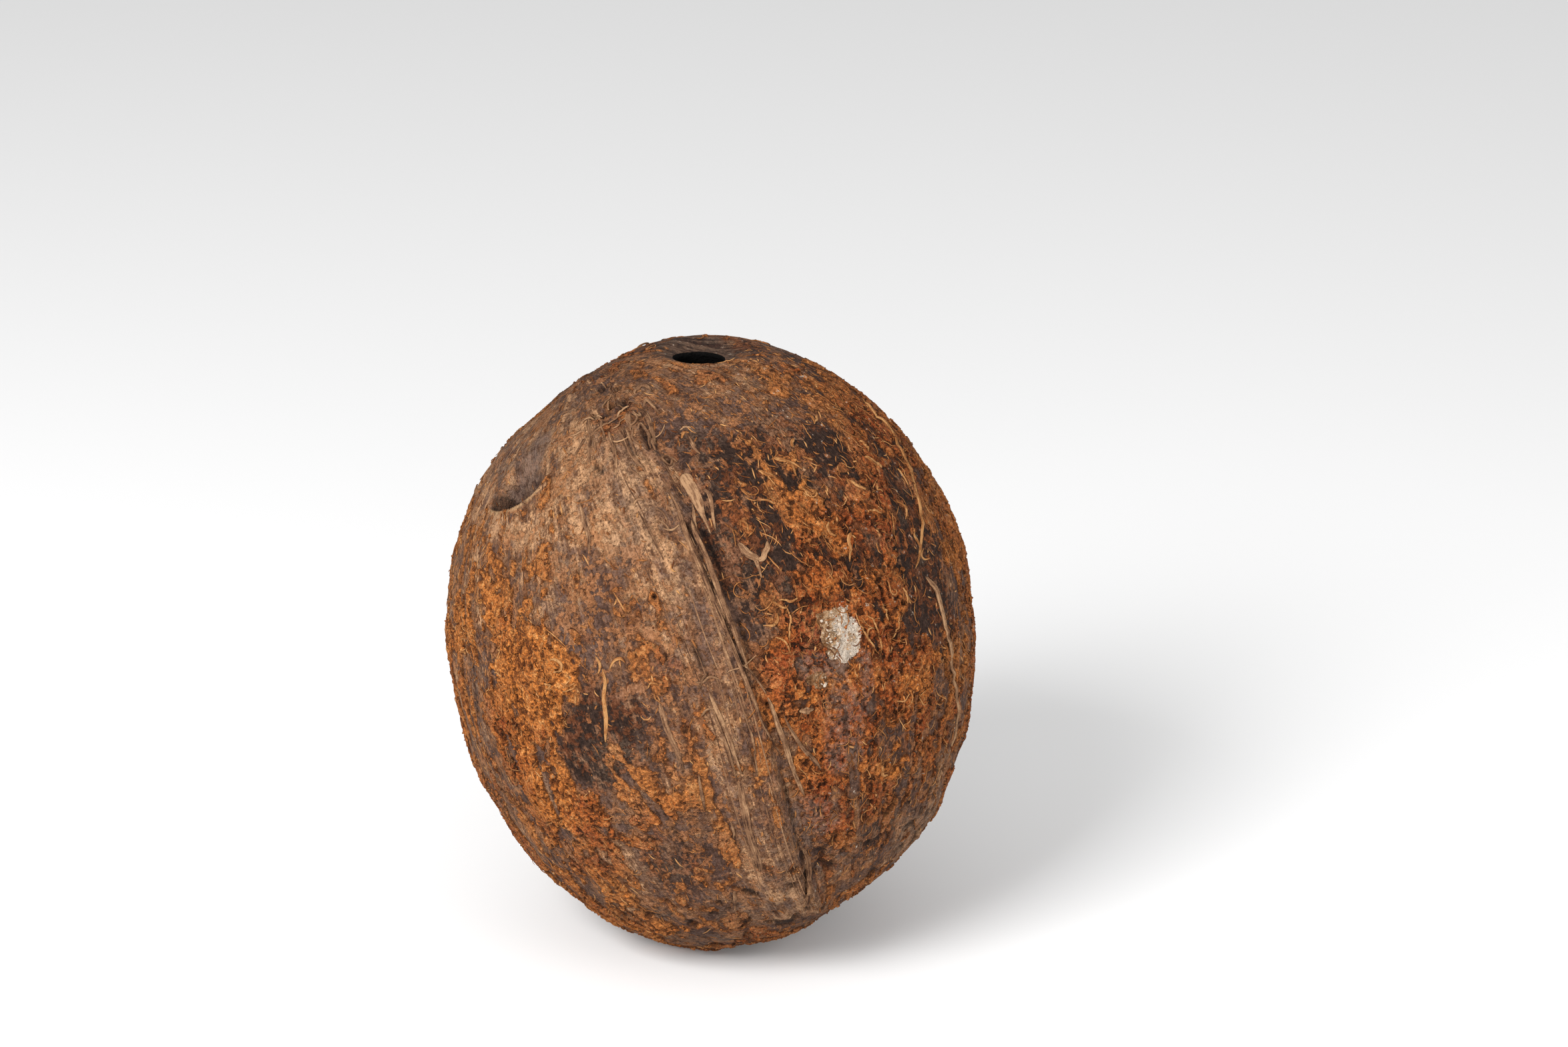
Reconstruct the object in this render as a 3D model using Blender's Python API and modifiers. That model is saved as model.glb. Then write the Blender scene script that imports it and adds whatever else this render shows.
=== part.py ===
"""A husked brown coconut that stands on its far end, one of its three eyes open.

Metres, +Z up. The origin is the centre of the flat spot that the nut rests on. The stem end
leans up and to the left when seen from the front, which is -Y, and one of the three ridges
that meet there runs down that front.
"""

import math

import bmesh
import bpy
import numpy as np
from mathutils import Matrix, Vector

# The egg, before the resting spot is cut
HALF_WIDTH = 0.0548
HALF_DEPTH = 0.0542
HALF_HEIGHT = 0.0655
CENTRE_HEIGHT = 0.0643
TOP_SWELL = 0.0006
SHOULDER_DROP = 0.0016
LEAN = 0.0018
THREE_SIDED = 0.0004

# The nut's own axis: its stem end leans this far from upright, towards this heading from +X
STEM_LEAN = 26.9
STEM_HEADING = 160.4
FRONT_TURN = 121.3
STEM_FLAT = 0.0009
FAR_FLAT = 0.0018
POLE_REACH = 0.05

# Places on the shell are (angle from the stem end, azimuth from the front ridge), in degrees.
# The ridges turn a little as they run down, and the azimuth turns with them.
TWIST_START, TWIST_END = 40.0, 160.0
TWIST_AT_END = -20.0
TWIST_OFFSET = -1.0
GIRTH_RADIUS = 0.055

# Three ridges, each with a slow left flank and a sudden step down on its right
RIDGE_COUNT = 3
RIDGE_HEIGHT = 0.0016
RIDGE_FOOT = -0.0095
RIDGE_CREST = -0.0020
RIDGE_STEP = 0.0043
STEP_WIDTH = 0.0018
CREASE_SHARE = 0.35
CREASE_END = 0.0105
RIDGE_START, RIDGE_FULL = 20.0, 40.0
RIDGE_FADE, RIDGE_END = 148.0, 168.0

# Broad unevenness of the shell, and two shallow dents: place, reach in degrees, depth
UNEVEN_HEIGHT = 0.00035
UNEVEN_LENGTH = 0.017
UNEVEN_WAVES = 24
UNEVEN_SEED = 7
DENTS = (((12.0, -74.0), 16.0, 0.0008), ((50.0, 84.0), 14.0, 0.0005))

# The open eye: a dish round a drilled hole that widens under a thin lip
OPEN_EYE = (25.4, 55.0)
DISH_CENTRE = (26.4, 60.0)
DISH_DEPTH = 0.0020
DISH_FLOOR = 0.0045
DISH_RIM = 0.0112
HOLE_RADIUS = 0.0054
LIP_THICKNESS = 0.0013
POCKET_RADIUS = 0.0088
POCKET_DEPTH = 0.0250
POCKET_SLOPE = 0.0030
HOLE_CLEARANCE = 0.0060
HOLE_STEPS = 24

# The scooped eye: a hollow that deepens towards a steep, long, curved lip at its lower end
SCOOP_PLACE = (33.0, -49.0)
SCOOP_DEPTH = 0.0050
LIP_ANGLE, LIP_MIDDLE, LIP_BEND = 37.5, -48.0, 0.010
SCOOP_LEFT, SCOOP_SLANT, SCOOP_SIDE = -64.0, 0.9, 8.0
SCOOP_FADE = (-46.0, -27.0)
SCOOP_WALL = 0.0015
SCOOP_FLOOR = (0.0022, 0.0125)

# The shut eye, round the back: a dish with a low plug in it
SHUT_EYE = (27.0, 180.0)
SHUT_DEPTH = 0.0017
SHUT_FLOOR, SHUT_RIM = 0.0040, 0.0085
PLUG_HEIGHT = 0.0009
PLUG_TOP, PLUG_FOOT = 0.0015, 0.0045

# How finely the shell is faceted
MERIDIANS = 57
RINGS = 44
MERIDIAN_GATHER = 0.20
EYE_AREA = 0.0135
SCOOP_AREA = 0.0112

# Husk strands: bevelled curves, pressed flat against the shell
STRAND_SPACING = 0.0036
STRAND_FLATNESS = 0.62
STRAND_TAPER = 0.65
STRAND_SINK = 0.10
REST_MARGIN = 0.019

# Strands that lie on and beside each ridge: (route from the ridge's own azimuth, width)
RIDGE_STRANDS = (
    (((50, 6.2), (60, 5.6), (73, 3.6), (86, 3.0), (100, 4.2), (112, 6.0)), 0.0012),
    (((100, 7.5), (108, 8.6), (115, 9.2), (123, 9.6)), 0.0017),
    (((52, -1.5), (66, -0.6), (80, 0.4), (92, 0.2)), 0.0010),
    (((132, 6.0), (142, 4.6), (150, 2.0), (157, -1.5)), 0.0013),
    (((89, -4.5), (98, -3.2), (109, -2.4)), 0.0011),
)

# Strands and flakes of the front: (route, width)
FRONT_STRANDS = (
    (((101, 8.4), (106, 10.0), (111, 11.6), (118, 15.5)), 0.0011),
    (((90, -6.6), (99, -4.8), (108, -4.4)), 0.0010),
    (((111, -4.2), (122, -4.4), (134, -6.6)), 0.0018),
    (((24, -13.6), (28.4, -9.6), (32, -11.2), (36.6, -12.6)), 0.0011),
    (((27.4, -19.8), (26.8, -15), (28.6, -9.2), (31, -6.2)), 0.0010),
    (((32.4, -17.5), (30.4, -13.5), (28.6, -9.0)), 0.0009),
    (((47.5, 10.2), (51, 10.4), (55, 9.0), (59.5, 8.4)), 0.0028),
    (((64.5, 12.2), (69.5, 13.2), (71.5, 16.0), (68, 20.0)), 0.0019),
    (((91, 55.5), (104, 57.5), (116, 62.0), (138, 73.0)), 0.0014),
    (((76, -25.5), (84, -25.8), (92, -29.0)), 0.0016),
    (((71, -36.5), (72.5, -33), (75, -33.2), (75.4, -36.6)), 0.0011),
    (((87, -15.0), (99, -15.2)), 0.0013),
    (((109, -47.0), (122, -46.5)), 0.0014),
    (((54, 75.0), (70, 62.5), (84, 56.0), (89, 52.5)), 0.0008),
    (((140, 47.0), (150, 50.0)), 0.0014),
)

# Strands of the sides and the back, which follow the meridians as those of the front do
FAR_STRANDS = (
    (((44, 150), (58, 152), (70, 149)), 0.0012),
    (((78, 168), (92, 170), (106, 167)), 0.0015),
    (((66, -166), (80, -168), (88, -165)), 0.0011),
    (((104, -150), (120, -152), (131, -149)), 0.0015),
    (((60, 98), (74, 101), (82, 99)), 0.0011),
    (((96, -84), (110, -86), (124, -83)), 0.0014),
)

SHELL_COLOUR = (0.22, 0.115, 0.055, 1.0)
SHELL_ROUGHNESS = 0.85
SHARP_ANGLE = 35.0

NUT_AXES = np.array(
    Matrix.Rotation(math.radians(STEM_HEADING), 3, "Z")
    @ Matrix.Rotation(math.radians(STEM_LEAN), 3, "Y")
    @ Matrix.Rotation(math.radians(FRONT_TURN), 3, "Z")
)


def smooth(values, low, high):
    """0 below low, 1 above high, and an even curve between them."""
    share = np.clip((values - low) / (high - low), 0.0, 1.0)
    return share * share * (3.0 - 2.0 * share)


def twist(angle):
    """How far the ridges have turned at an angle from the stem end."""
    share = np.clip((angle - TWIST_START) / (TWIST_END - TWIST_START), 0.0, None)
    return TWIST_OFFSET + TWIST_AT_END * share**2


def ways_to(angle, azimuth):
    """Unit vectors from the centre to places on the shell."""
    angle = np.asarray(angle, float)
    turned = np.radians(azimuth + twist(angle))
    angle = np.radians(angle)
    own = np.stack(
        [np.sin(angle) * np.cos(turned), np.sin(angle) * np.sin(turned), np.cos(angle)], -1
    )
    return own @ NUT_AXES.T


def places_of(ways):
    """The angle from the stem end, and the azimuth from the front ridge, of unit vectors."""
    own = ways @ NUT_AXES
    angle = np.degrees(np.arccos(np.clip(own[..., 2], -1.0, 1.0)))
    azimuth = np.degrees(np.arctan2(own[..., 1], own[..., 0])) - twist(angle)
    return angle, (azimuth + 180.0) % 360.0 - 180.0


def egg_radius(ways):
    """The plain egg: an ellipsoid that leans, slopes at its shoulders and is flat at its ends."""
    x, y, z = np.moveaxis(ways, -1, 0)
    along = ways @ NUT_AXES[:, 2]
    angle, azimuth = places_of(ways)
    radius = 1.0 / np.sqrt((x / HALF_WIDTH) ** 2 + (y / HALF_DEPTH) ** 2 + (z / HALF_HEIGHT) ** 2)
    radius += TOP_SWELL * z - SHOULDER_DROP * z**3 - LEAN * x * z
    radius -= STEM_FLAT * np.exp((along - 1.0) / POLE_REACH)
    radius -= FAR_FLAT * np.exp((-along - 1.0) / POLE_REACH)
    girth = np.sin(np.radians(angle)) ** 3
    return radius + THREE_SIDED * girth * np.cos(np.radians(RIDGE_COUNT * azimuth))


def ridge_relief(angle, azimuth):
    """The ridges' height: a slow rise, a step down into a crease, and a slow way out of it."""
    sector = 360.0 / RIDGE_COUNT
    aside = (azimuth + sector / 2) % sector - sector / 2
    across = GIRTH_RADIUS * np.sin(np.radians(angle)) * np.radians(aside)
    rise = smooth(across, RIDGE_FOOT, RIDGE_CREST)
    fall = smooth(across, RIDGE_STEP - STEP_WIDTH / 2, RIDGE_STEP + STEP_WIDTH / 2)
    out = smooth(across, RIDGE_STEP + STEP_WIDTH / 2, CREASE_END)
    ends = smooth(angle, RIDGE_START, RIDGE_FULL) * (1.0 - smooth(angle, RIDGE_FADE, RIDGE_END))
    return RIDGE_HEIGHT * ends * (rise * (1.0 - (1.0 + CREASE_SHARE) * fall) + CREASE_SHARE * out)


def unevenness(ways):
    """A mix of waves in every direction, from about -1 to 1."""
    draw = np.random.default_rng(UNEVEN_SEED)
    runs = draw.normal(size=(UNEVEN_WAVES, 3))
    runs *= 2.0 * math.pi * GIRTH_RADIUS / UNEVEN_LENGTH / np.linalg.norm(runs, axis=1)[:, None]
    phases = draw.uniform(0.0, 2.0 * math.pi, UNEVEN_WAVES)
    return np.cos(ways @ runs.T + phases).sum(-1) / math.sqrt(UNEVEN_WAVES)


def distance_from(ways, place):
    """How far ways lead from a place, along the shell."""
    centre = ways_to(*place)
    return np.arccos(np.clip(ways @ centre, -1.0, 1.0)) * float(egg_radius(centre))


def dish(ways, place, floor, rim):
    """1 on the floor of a round dish, 0 past its rim."""
    return 1.0 - smooth(distance_from(ways, place), floor, rim)


def scoop_parts(ways):
    """Metres up from the scooped eye's lip, and how much of the hollow there is between its sides."""
    angle, azimuth = places_of(ways)
    below = LIP_ANGLE - LIP_BEND * (azimuth - LIP_MIDDLE) ** 2 - angle
    left = smooth(azimuth - SCOOP_LEFT - SCOOP_SLANT * below, 0.0, SCOOP_SIDE)
    return GIRTH_RADIUS * np.radians(below), left * (1.0 - smooth(azimuth, *SCOOP_FADE))


def scoop(ways):
    """0 outside the scooped eye, and up to 1 at the foot of its steep curved lip."""
    inside, sides = scoop_parts(ways)
    return sides * smooth(inside, 0.0, SCOOP_WALL) * (1.0 - smooth(inside, *SCOOP_FLOOR))


def shell_radius(ways):
    """How far the shell's surface is from the nut's centre, along unit vectors."""
    angle, azimuth = places_of(ways)
    radius = egg_radius(ways) + ridge_relief(angle, azimuth)
    radius += UNEVEN_HEIGHT * unevenness(ways)
    for place, reach, depth in DENTS:
        off = np.degrees(np.arccos(np.clip(ways @ ways_to(*place), -1.0, 1.0)))
        radius -= depth * np.exp(-((off / reach) ** 2))
    radius -= DISH_DEPTH * dish(ways, DISH_CENTRE, DISH_FLOOR, DISH_RIM)
    radius -= SHUT_DEPTH * dish(ways, SHUT_EYE, SHUT_FLOOR, SHUT_RIM)
    radius += PLUG_HEIGHT * dish(ways, SHUT_EYE, PLUG_TOP, PLUG_FOOT)
    return radius - SCOOP_DEPTH * scoop(ways)


def world_points(ways, height=0.0):
    """Points this far above the shell's surface."""
    points = ways * (shell_radius(ways) + height)[..., None]
    return points + np.array([0.0, 0.0, CENTRE_HEIGHT])


def way_of(co):
    return np.array((Vector(co) - Vector((0.0, 0.0, CENTRE_HEIGHT))).normalized())


def spline(points, spacing):
    """Points along a smooth curve through these places, about this many metres apart."""
    knots = np.array(points, float)
    knots = np.vstack([2.0 * knots[0] - knots[1], knots, 2.0 * knots[-1] - knots[-2]])
    found = []
    for before, start, end, after in zip(knots, knots[1:], knots[2:], knots[3:]):
        reach = GIRTH_RADIUS * np.radians(np.linalg.norm(end - start))
        share = np.linspace(0.0, 1.0, max(2, round(reach / spacing)), endpoint=False)[:, None]
        bend = 2.0 * before - 5.0 * start + 4.0 * end - after
        swing = 3.0 * start - before - 3.0 * end + after
        found.append(0.5 * (2.0 * start + (end - before) * share + bend * share**2 + swing * share**3))
    return np.vstack(found + [knots[-2:-1]])


def clear_scene():
    for obj in list(bpy.data.objects):
        bpy.data.objects.remove(obj, do_unlink=True)


def new_collection(name):
    collection = bpy.data.collections.new(name)
    bpy.context.scene.collection.children.link(collection)
    return collection


def new_object(name, data, collection):
    obj = bpy.data.objects.new(name, data)
    collection.objects.link(obj)
    return obj


def shell_material():
    material = bpy.data.materials.new("shell")
    material.use_nodes = True
    surface = material.node_tree.nodes["Principled BSDF"]
    surface.inputs["Base Color"].default_value = SHELL_COLOUR
    surface.inputs["Roughness"].default_value = SHELL_ROUGHNESS
    return material


def refine(bm, place, reach):
    """Cuts the edges near a place of a unit sphere in two."""
    centre = Vector(ways_to(*place))
    near = math.cos(reach / GIRTH_RADIUS)
    edges = [
        edge
        for edge in bm.edges
        if ((edge.verts[0].co + edge.verts[1].co) / 2).normalized().dot(centre) > near
    ]
    bmesh.ops.subdivide_edges(bm, edges=edges, cuts=1, use_grid_fill=True)
    for vert in bm.verts:
        vert.co.normalize()


def shell(collection, material):
    """The solid shell. Its meridians gather at the ridges, and its eyes have finer faces."""
    bm = bmesh.new()
    bmesh.ops.create_uvsphere(bm, u_segments=MERIDIANS, v_segments=RINGS, radius=1.0)
    for vert in bm.verts:
        angle = math.degrees(math.acos(max(-1.0, min(1.0, vert.co.z))))
        turn = math.atan2(vert.co.y, vert.co.x)
        turn -= MERIDIAN_GATHER * math.sin(RIDGE_COUNT * turn)
        vert.co = ways_to(angle, math.degrees(turn))
    for place in (OPEN_EYE, SHUT_EYE, SCOOP_PLACE):
        refine(bm, place, EYE_AREA)
    refine(bm, SCOOP_PLACE, SCOOP_AREA)
    bmesh.ops.triangulate(bm, faces=bm.faces)
    ways = np.array([vert.co for vert in bm.verts])
    for vert, point in zip(bm.verts, world_points(ways)):
        vert.co = point
    everything = bm.verts[:] + bm.edges[:] + bm.faces[:]
    cut = bmesh.ops.bisect_plane(
        bm, geom=everything, dist=1e-6, plane_co=(0, 0, 0), plane_no=(0, 0, -1), clear_outer=True
    )
    rim = [item for item in cut["geom_cut"] if isinstance(item, bmesh.types.BMEdge)]
    bmesh.ops.edgeloop_fill(bm, edges=rim)
    bmesh.ops.triangulate(bm, faces=bm.faces)
    bmesh.ops.recalc_face_normals(bm, faces=bm.faces)
    mesh = bpy.data.meshes.new("coconut")
    bm.to_mesh(mesh)
    bm.free()
    mesh.materials.append(material)
    return new_object("coconut", mesh, collection)


def strand(name, route, width, collection):
    """One husk strand, half sunk in the shell, thinner towards its ends."""
    places = spline(route, STRAND_SPACING)
    centres = world_points(ways_to(places[:, 0], places[:, 1]), STRAND_SINK * width)
    curve = bpy.data.curves.new(name, "CURVE")
    curve.dimensions = "3D"
    curve.bevel_depth = width / 2
    curve.bevel_resolution = 1
    curve.use_fill_caps = True
    line = curve.splines.new("POLY")
    line.points.add(len(centres) - 1)
    for point, centre, share in zip(line.points, centres, np.linspace(-1.0, 1.0, len(centres))):
        point.co = (*centre, 1.0)
        point.radius = 1.0 - STRAND_TAPER * share**4
    guide = new_object(name + "_line", curve, collection)
    mesh = bpy.data.meshes.new_from_object(guide.evaluated_get(bpy.context.evaluated_depsgraph_get()))
    bpy.data.objects.remove(guide, do_unlink=True)
    bm = bmesh.new()
    bm.from_mesh(mesh)
    bmesh.ops.remove_doubles(bm, verts=bm.verts, dist=1e-6)
    press_flat(bm)
    bmesh.ops.recalc_face_normals(bm, faces=bm.faces)
    bm.to_mesh(mesh)
    bm.free()
    return new_object(name, mesh, collection)


def press_flat(bm):
    """Squeezes a strand's height above and below the shell, and leaves its width."""
    ways = np.array([way_of(vert.co) for vert in bm.verts])
    heights = np.linalg.norm(
        np.array([vert.co for vert in bm.verts]) - [0.0, 0.0, CENTRE_HEIGHT], axis=1
    ) - shell_radius(ways)
    for vert, point in zip(bm.verts, world_points(ways, heights * STRAND_FLATNESS)):
        vert.co = point


def all_strands():
    """Every strand's route and width: those of each ridge, then the front's and the far ones."""
    found = list(FRONT_STRANDS + FAR_STRANDS)
    for ridge in range(RIDGE_COUNT):
        turn = ridge * 360.0 / RIDGE_COUNT
        for route, width in RIDGE_STRANDS:
            found.append(([(angle, azimuth + turn) for angle, azimuth in route], width))
    return [(route, width) for route, width in found if clear_of_rest(route)]


def clear_of_rest(route):
    """Whether a strand keeps away from the spot that the nut stands on."""
    down = np.array([0.0, 0.0, -1.0])
    near = math.cos(REST_MARGIN / GIRTH_RADIUS)
    return all(ways_to(*place) @ down < near for place in route)


def fuse(body, pieces):
    """Joins the collection's pieces to the body and removes them."""
    union = body.modifiers.new("strands", "BOOLEAN")
    union.operation = "UNION"
    union.operand_type = "COLLECTION"
    union.collection = pieces
    fused = bpy.data.meshes.new_from_object(body.evaluated_get(bpy.context.evaluated_depsgraph_get()))
    fused.shade_smooth()
    fused.set_sharp_from_angle(angle=math.radians(SHARP_ANGLE))
    body.modifiers.remove(union)
    body.data = fused
    for piece in list(pieces.objects):
        bpy.data.objects.remove(piece, do_unlink=True)
    bpy.data.collections.remove(pieces)


def eye_cutter(collection):
    """The turned shape of the drilled hole: a neck through the lip, and the pocket under it."""
    corners = (
        (0.0, HOLE_CLEARANCE),
        (HOLE_RADIUS, HOLE_CLEARANCE),
        (HOLE_RADIUS, -LIP_THICKNESS),
        (POCKET_RADIUS, -LIP_THICKNESS - POCKET_SLOPE),
        (POCKET_RADIUS, -POCKET_DEPTH + POCKET_SLOPE),
        (HOLE_RADIUS, -POCKET_DEPTH),
        (0.0, -POCKET_DEPTH),
    )
    bm = bmesh.new()
    verts = [bm.verts.new((radius, 0.0, height)) for radius, height in corners]
    for start, end in zip(verts, verts[1:]):
        bm.edges.new((start, end))
    mesh = bpy.data.meshes.new("eye_cutter")
    bm.to_mesh(mesh)
    bm.free()
    cutter = new_object("eye_cutter", mesh, collection)
    turn = cutter.modifiers.new("turn", "SCREW")
    turn.steps = HOLE_STEPS
    turn.render_steps = HOLE_STEPS
    turn.use_merge_vertices = True
    turn.merge_threshold = 0.00001
    way = ways_to(*OPEN_EYE)
    cutter.location = world_points(way)
    cutter.rotation_mode = "QUATERNION"
    cutter.rotation_quaternion = Vector(way).to_track_quat("Z", "Y")
    cutter.hide_render = True
    cutter.display_type = "WIRE"
    return cutter


def main():
    clear_scene()
    parts = new_collection("coconut")
    cutters = new_collection("cutters")
    pieces = new_collection("strands")
    body = shell(parts, shell_material())
    for number, (route, width) in enumerate(all_strands()):
        strand(f"strand_{number}", route, width, pieces)
    fuse(body, pieces)
    drill = body.modifiers.new("open_eye", "BOOLEAN")
    drill.operation = "DIFFERENCE"
    drill.object = eye_cutter(cutters)


main()
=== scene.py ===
"""A husked coconut with its clinging pith, ridge strands, stray husk fibres and a patch of mould."""

import itertools
import math

import bmesh
import bpy
import numpy as np
from mathutils import Matrix, Vector


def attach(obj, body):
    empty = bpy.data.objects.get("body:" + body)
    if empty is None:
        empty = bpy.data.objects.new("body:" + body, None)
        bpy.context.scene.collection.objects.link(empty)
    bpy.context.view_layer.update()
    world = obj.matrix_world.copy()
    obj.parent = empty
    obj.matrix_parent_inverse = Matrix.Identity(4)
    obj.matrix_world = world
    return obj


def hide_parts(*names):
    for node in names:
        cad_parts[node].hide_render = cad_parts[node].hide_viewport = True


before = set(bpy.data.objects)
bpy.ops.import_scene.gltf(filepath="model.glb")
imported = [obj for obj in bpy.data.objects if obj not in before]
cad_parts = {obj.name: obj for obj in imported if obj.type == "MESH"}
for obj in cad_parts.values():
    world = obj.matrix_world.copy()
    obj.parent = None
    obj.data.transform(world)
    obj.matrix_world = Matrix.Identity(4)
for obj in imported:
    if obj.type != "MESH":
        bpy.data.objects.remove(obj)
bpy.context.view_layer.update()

# The egg, the nut's own axis, the twist of its ridges: as in the part's source, in metres and degrees
HALF_WIDTH, HALF_DEPTH, HALF_HEIGHT = 0.0548, 0.0542, 0.0655
CENTRE_HEIGHT = 0.0643
TOP_SWELL, SHOULDER_DROP, LEAN, THREE_SIDED = 0.0006, 0.0016, 0.0018, 0.0004
STEM_LEAN, STEM_HEADING, FRONT_TURN = 26.9, 160.4, 121.3
STEM_FLAT, FAR_FLAT, POLE_REACH = 0.0009, 0.0018, 0.05
TWIST_START, TWIST_END, TWIST_AT_END, TWIST_OFFSET = 40.0, 160.0, -20.0, -1.0
GIRTH_RADIUS = 0.055
RIDGE_COUNT = 3
SECTOR = 360.0 / RIDGE_COUNT
RIDGE_HEIGHT, RIDGE_FOOT, RIDGE_CREST, RIDGE_STEP = 0.0016, -0.0095, -0.0020, 0.0043
STEP_WIDTH, CREASE_SHARE, CREASE_END = 0.0018, 0.35, 0.0105
RIDGE_START, RIDGE_FULL, RIDGE_FADE, RIDGE_END = 20.0, 40.0, 148.0, 168.0
UNEVEN_HEIGHT, UNEVEN_LENGTH, UNEVEN_WAVES, UNEVEN_SEED = 0.00035, 0.017, 24, 7
DENTS = (((12.0, -74.0), 16.0, 0.0008), ((50.0, 84.0), 14.0, 0.0005))
OPEN_EYE, DISH_CENTRE = (25.4, 55.0), (26.4, 60.0)
DISH_DEPTH, DISH_FLOOR, DISH_RIM = 0.0020, 0.0045, 0.0112
HOLE_RADIUS, LIP_THICKNESS, POCKET_RADIUS = 0.0054, 0.0013, 0.0088
POCKET_DEPTH, POCKET_SLOPE, HOLE_CLEARANCE, HOLE_STEPS = 0.0250, 0.0030, 0.0060, 56
SCOOP_PLACE, SCOOP_DEPTH, SCOOP_WALL = (33.0, -49.0), 0.0050, 0.0015
LIP_ANGLE, LIP_MIDDLE, LIP_BEND = 37.5, -48.0, 0.010
SCOOP_LEFT, SCOOP_SLANT, SCOOP_SIDE = -64.0, 0.9, 8.0
SCOOP_FADE, SCOOP_FLOOR = (-46.0, -27.0), (0.0022, 0.0125)
SHUT_EYE = (27.0, 180.0)
SHUT_DEPTH, SHUT_FLOOR, SHUT_RIM = 0.0017, 0.0040, 0.0085
PLUG_HEIGHT, PLUG_TOP, PLUG_FOOT = 0.0009, 0.0015, 0.0045

NUT_AXES = np.array(
    Matrix.Rotation(math.radians(STEM_HEADING), 3, "Z")
    @ Matrix.Rotation(math.radians(STEM_LEAN), 3, "Y")
    @ Matrix.Rotation(math.radians(FRONT_TURN), 3, "Z")
)
CENTRE = np.array([0.0, 0.0, CENTRE_HEIGHT])
MM = 0.001

# The camera of the photograph
VIEW_DOWN = math.radians(20.0)
VIEW_DISTANCE = 0.9
VIEW_ASIDE, VIEW_UP = 0.015035, 0.024266
LENS, SENSOR = 98.62, 36.0

# The body's grid, and the finer grids round its eyes: place, reach in metres
GRID_CUTS = 121
FINE_AREAS = ((OPEN_EYE, 0.0100), (SCOOP_PLACE, 0.0112), (SHUT_EYE, 0.0080), (OPEN_EYE, 0.0068))


def smooth(values, low, high):
    """0 below low, 1 above high, and an even curve between them."""
    share = np.clip((values - low) / (high - low), 0.0, 1.0)
    return share * share * (3.0 - 2.0 * share)


def between(values, low, high):
    """0 outside these two spans, 1 between them, and an even curve in each."""
    return smooth(values, *low) * (1.0 - smooth(values, *high))


def twist(angle):
    """How far the ridges have turned at an angle from the stem end."""
    share = np.clip((angle - TWIST_START) / (TWIST_END - TWIST_START), 0.0, None)
    return TWIST_OFFSET + TWIST_AT_END * share**2


def ways_to(angle, azimuth):
    """Unit vectors from the centre to places on the shell."""
    angle = np.asarray(angle, float)
    turned = np.radians(azimuth + twist(angle))
    angle = np.radians(angle)
    own = np.stack(
        [np.sin(angle) * np.cos(turned), np.sin(angle) * np.sin(turned), np.cos(angle)], -1
    )
    return own @ NUT_AXES.T


def places_of(ways):
    """The angle from the stem end, and the azimuth from the front ridge, of unit vectors."""
    own = ways @ NUT_AXES
    angle = np.degrees(np.arccos(np.clip(own[..., 2], -1.0, 1.0)))
    azimuth = np.degrees(np.arctan2(own[..., 1], own[..., 0])) - twist(angle)
    return angle, (azimuth + 180.0) % 360.0 - 180.0


def egg_radius(ways):
    """The plain egg: an ellipsoid that leans, slopes at its shoulders and is flat at its ends."""
    x, y, z = np.moveaxis(ways, -1, 0)
    along = ways @ NUT_AXES[:, 2]
    angle, azimuth = places_of(ways)
    radius = 1.0 / np.sqrt((x / HALF_WIDTH) ** 2 + (y / HALF_DEPTH) ** 2 + (z / HALF_HEIGHT) ** 2)
    radius += TOP_SWELL * z - SHOULDER_DROP * z**3 - LEAN * x * z
    radius -= STEM_FLAT * np.exp((along - 1.0) / POLE_REACH)
    radius -= FAR_FLAT * np.exp((-along - 1.0) / POLE_REACH)
    girth = np.sin(np.radians(angle)) ** 3
    return radius + THREE_SIDED * girth * np.cos(np.radians(RIDGE_COUNT * azimuth))


def ridge_across(angle, azimuth):
    """Metres to the right of the nearest ridge's line."""
    aside = (azimuth + SECTOR / 2) % SECTOR - SECTOR / 2
    return GIRTH_RADIUS * np.sin(np.radians(angle)) * np.radians(aside)


def ridge_ends(angle):
    return smooth(angle, RIDGE_START, RIDGE_FULL) * (1.0 - smooth(angle, RIDGE_FADE, RIDGE_END))


def ridge_relief(angle, azimuth):
    """The ridges' height: a slow rise, a step down into a crease, and a slow way out of it."""
    across = ridge_across(angle, azimuth)
    rise = smooth(across, RIDGE_FOOT, RIDGE_CREST)
    fall = smooth(across, RIDGE_STEP - STEP_WIDTH / 2, RIDGE_STEP + STEP_WIDTH / 2)
    out = smooth(across, RIDGE_STEP + STEP_WIDTH / 2, CREASE_END)
    profile = rise * (1.0 - (1.0 + CREASE_SHARE) * fall) + CREASE_SHARE * out
    return RIDGE_HEIGHT * ridge_ends(angle) * profile


def unevenness(ways):
    """A mix of waves in every direction, from about -1 to 1."""
    draw = np.random.default_rng(UNEVEN_SEED)
    runs = draw.normal(size=(UNEVEN_WAVES, 3))
    runs *= 2.0 * math.pi * GIRTH_RADIUS / UNEVEN_LENGTH / np.linalg.norm(runs, axis=1)[:, None]
    phases = draw.uniform(0.0, 2.0 * math.pi, UNEVEN_WAVES)
    return np.cos(ways @ runs.T + phases).sum(-1) / math.sqrt(UNEVEN_WAVES)


def distance_from(ways, place):
    """How far ways lead from a place, along the shell."""
    centre = ways_to(*place)
    return np.arccos(np.clip(ways @ centre, -1.0, 1.0)) * float(egg_radius(centre))


def dish(ways, place, floor, rim):
    """1 on the floor of a round dish, 0 past its rim."""
    return 1.0 - smooth(distance_from(ways, place), floor, rim)


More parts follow.
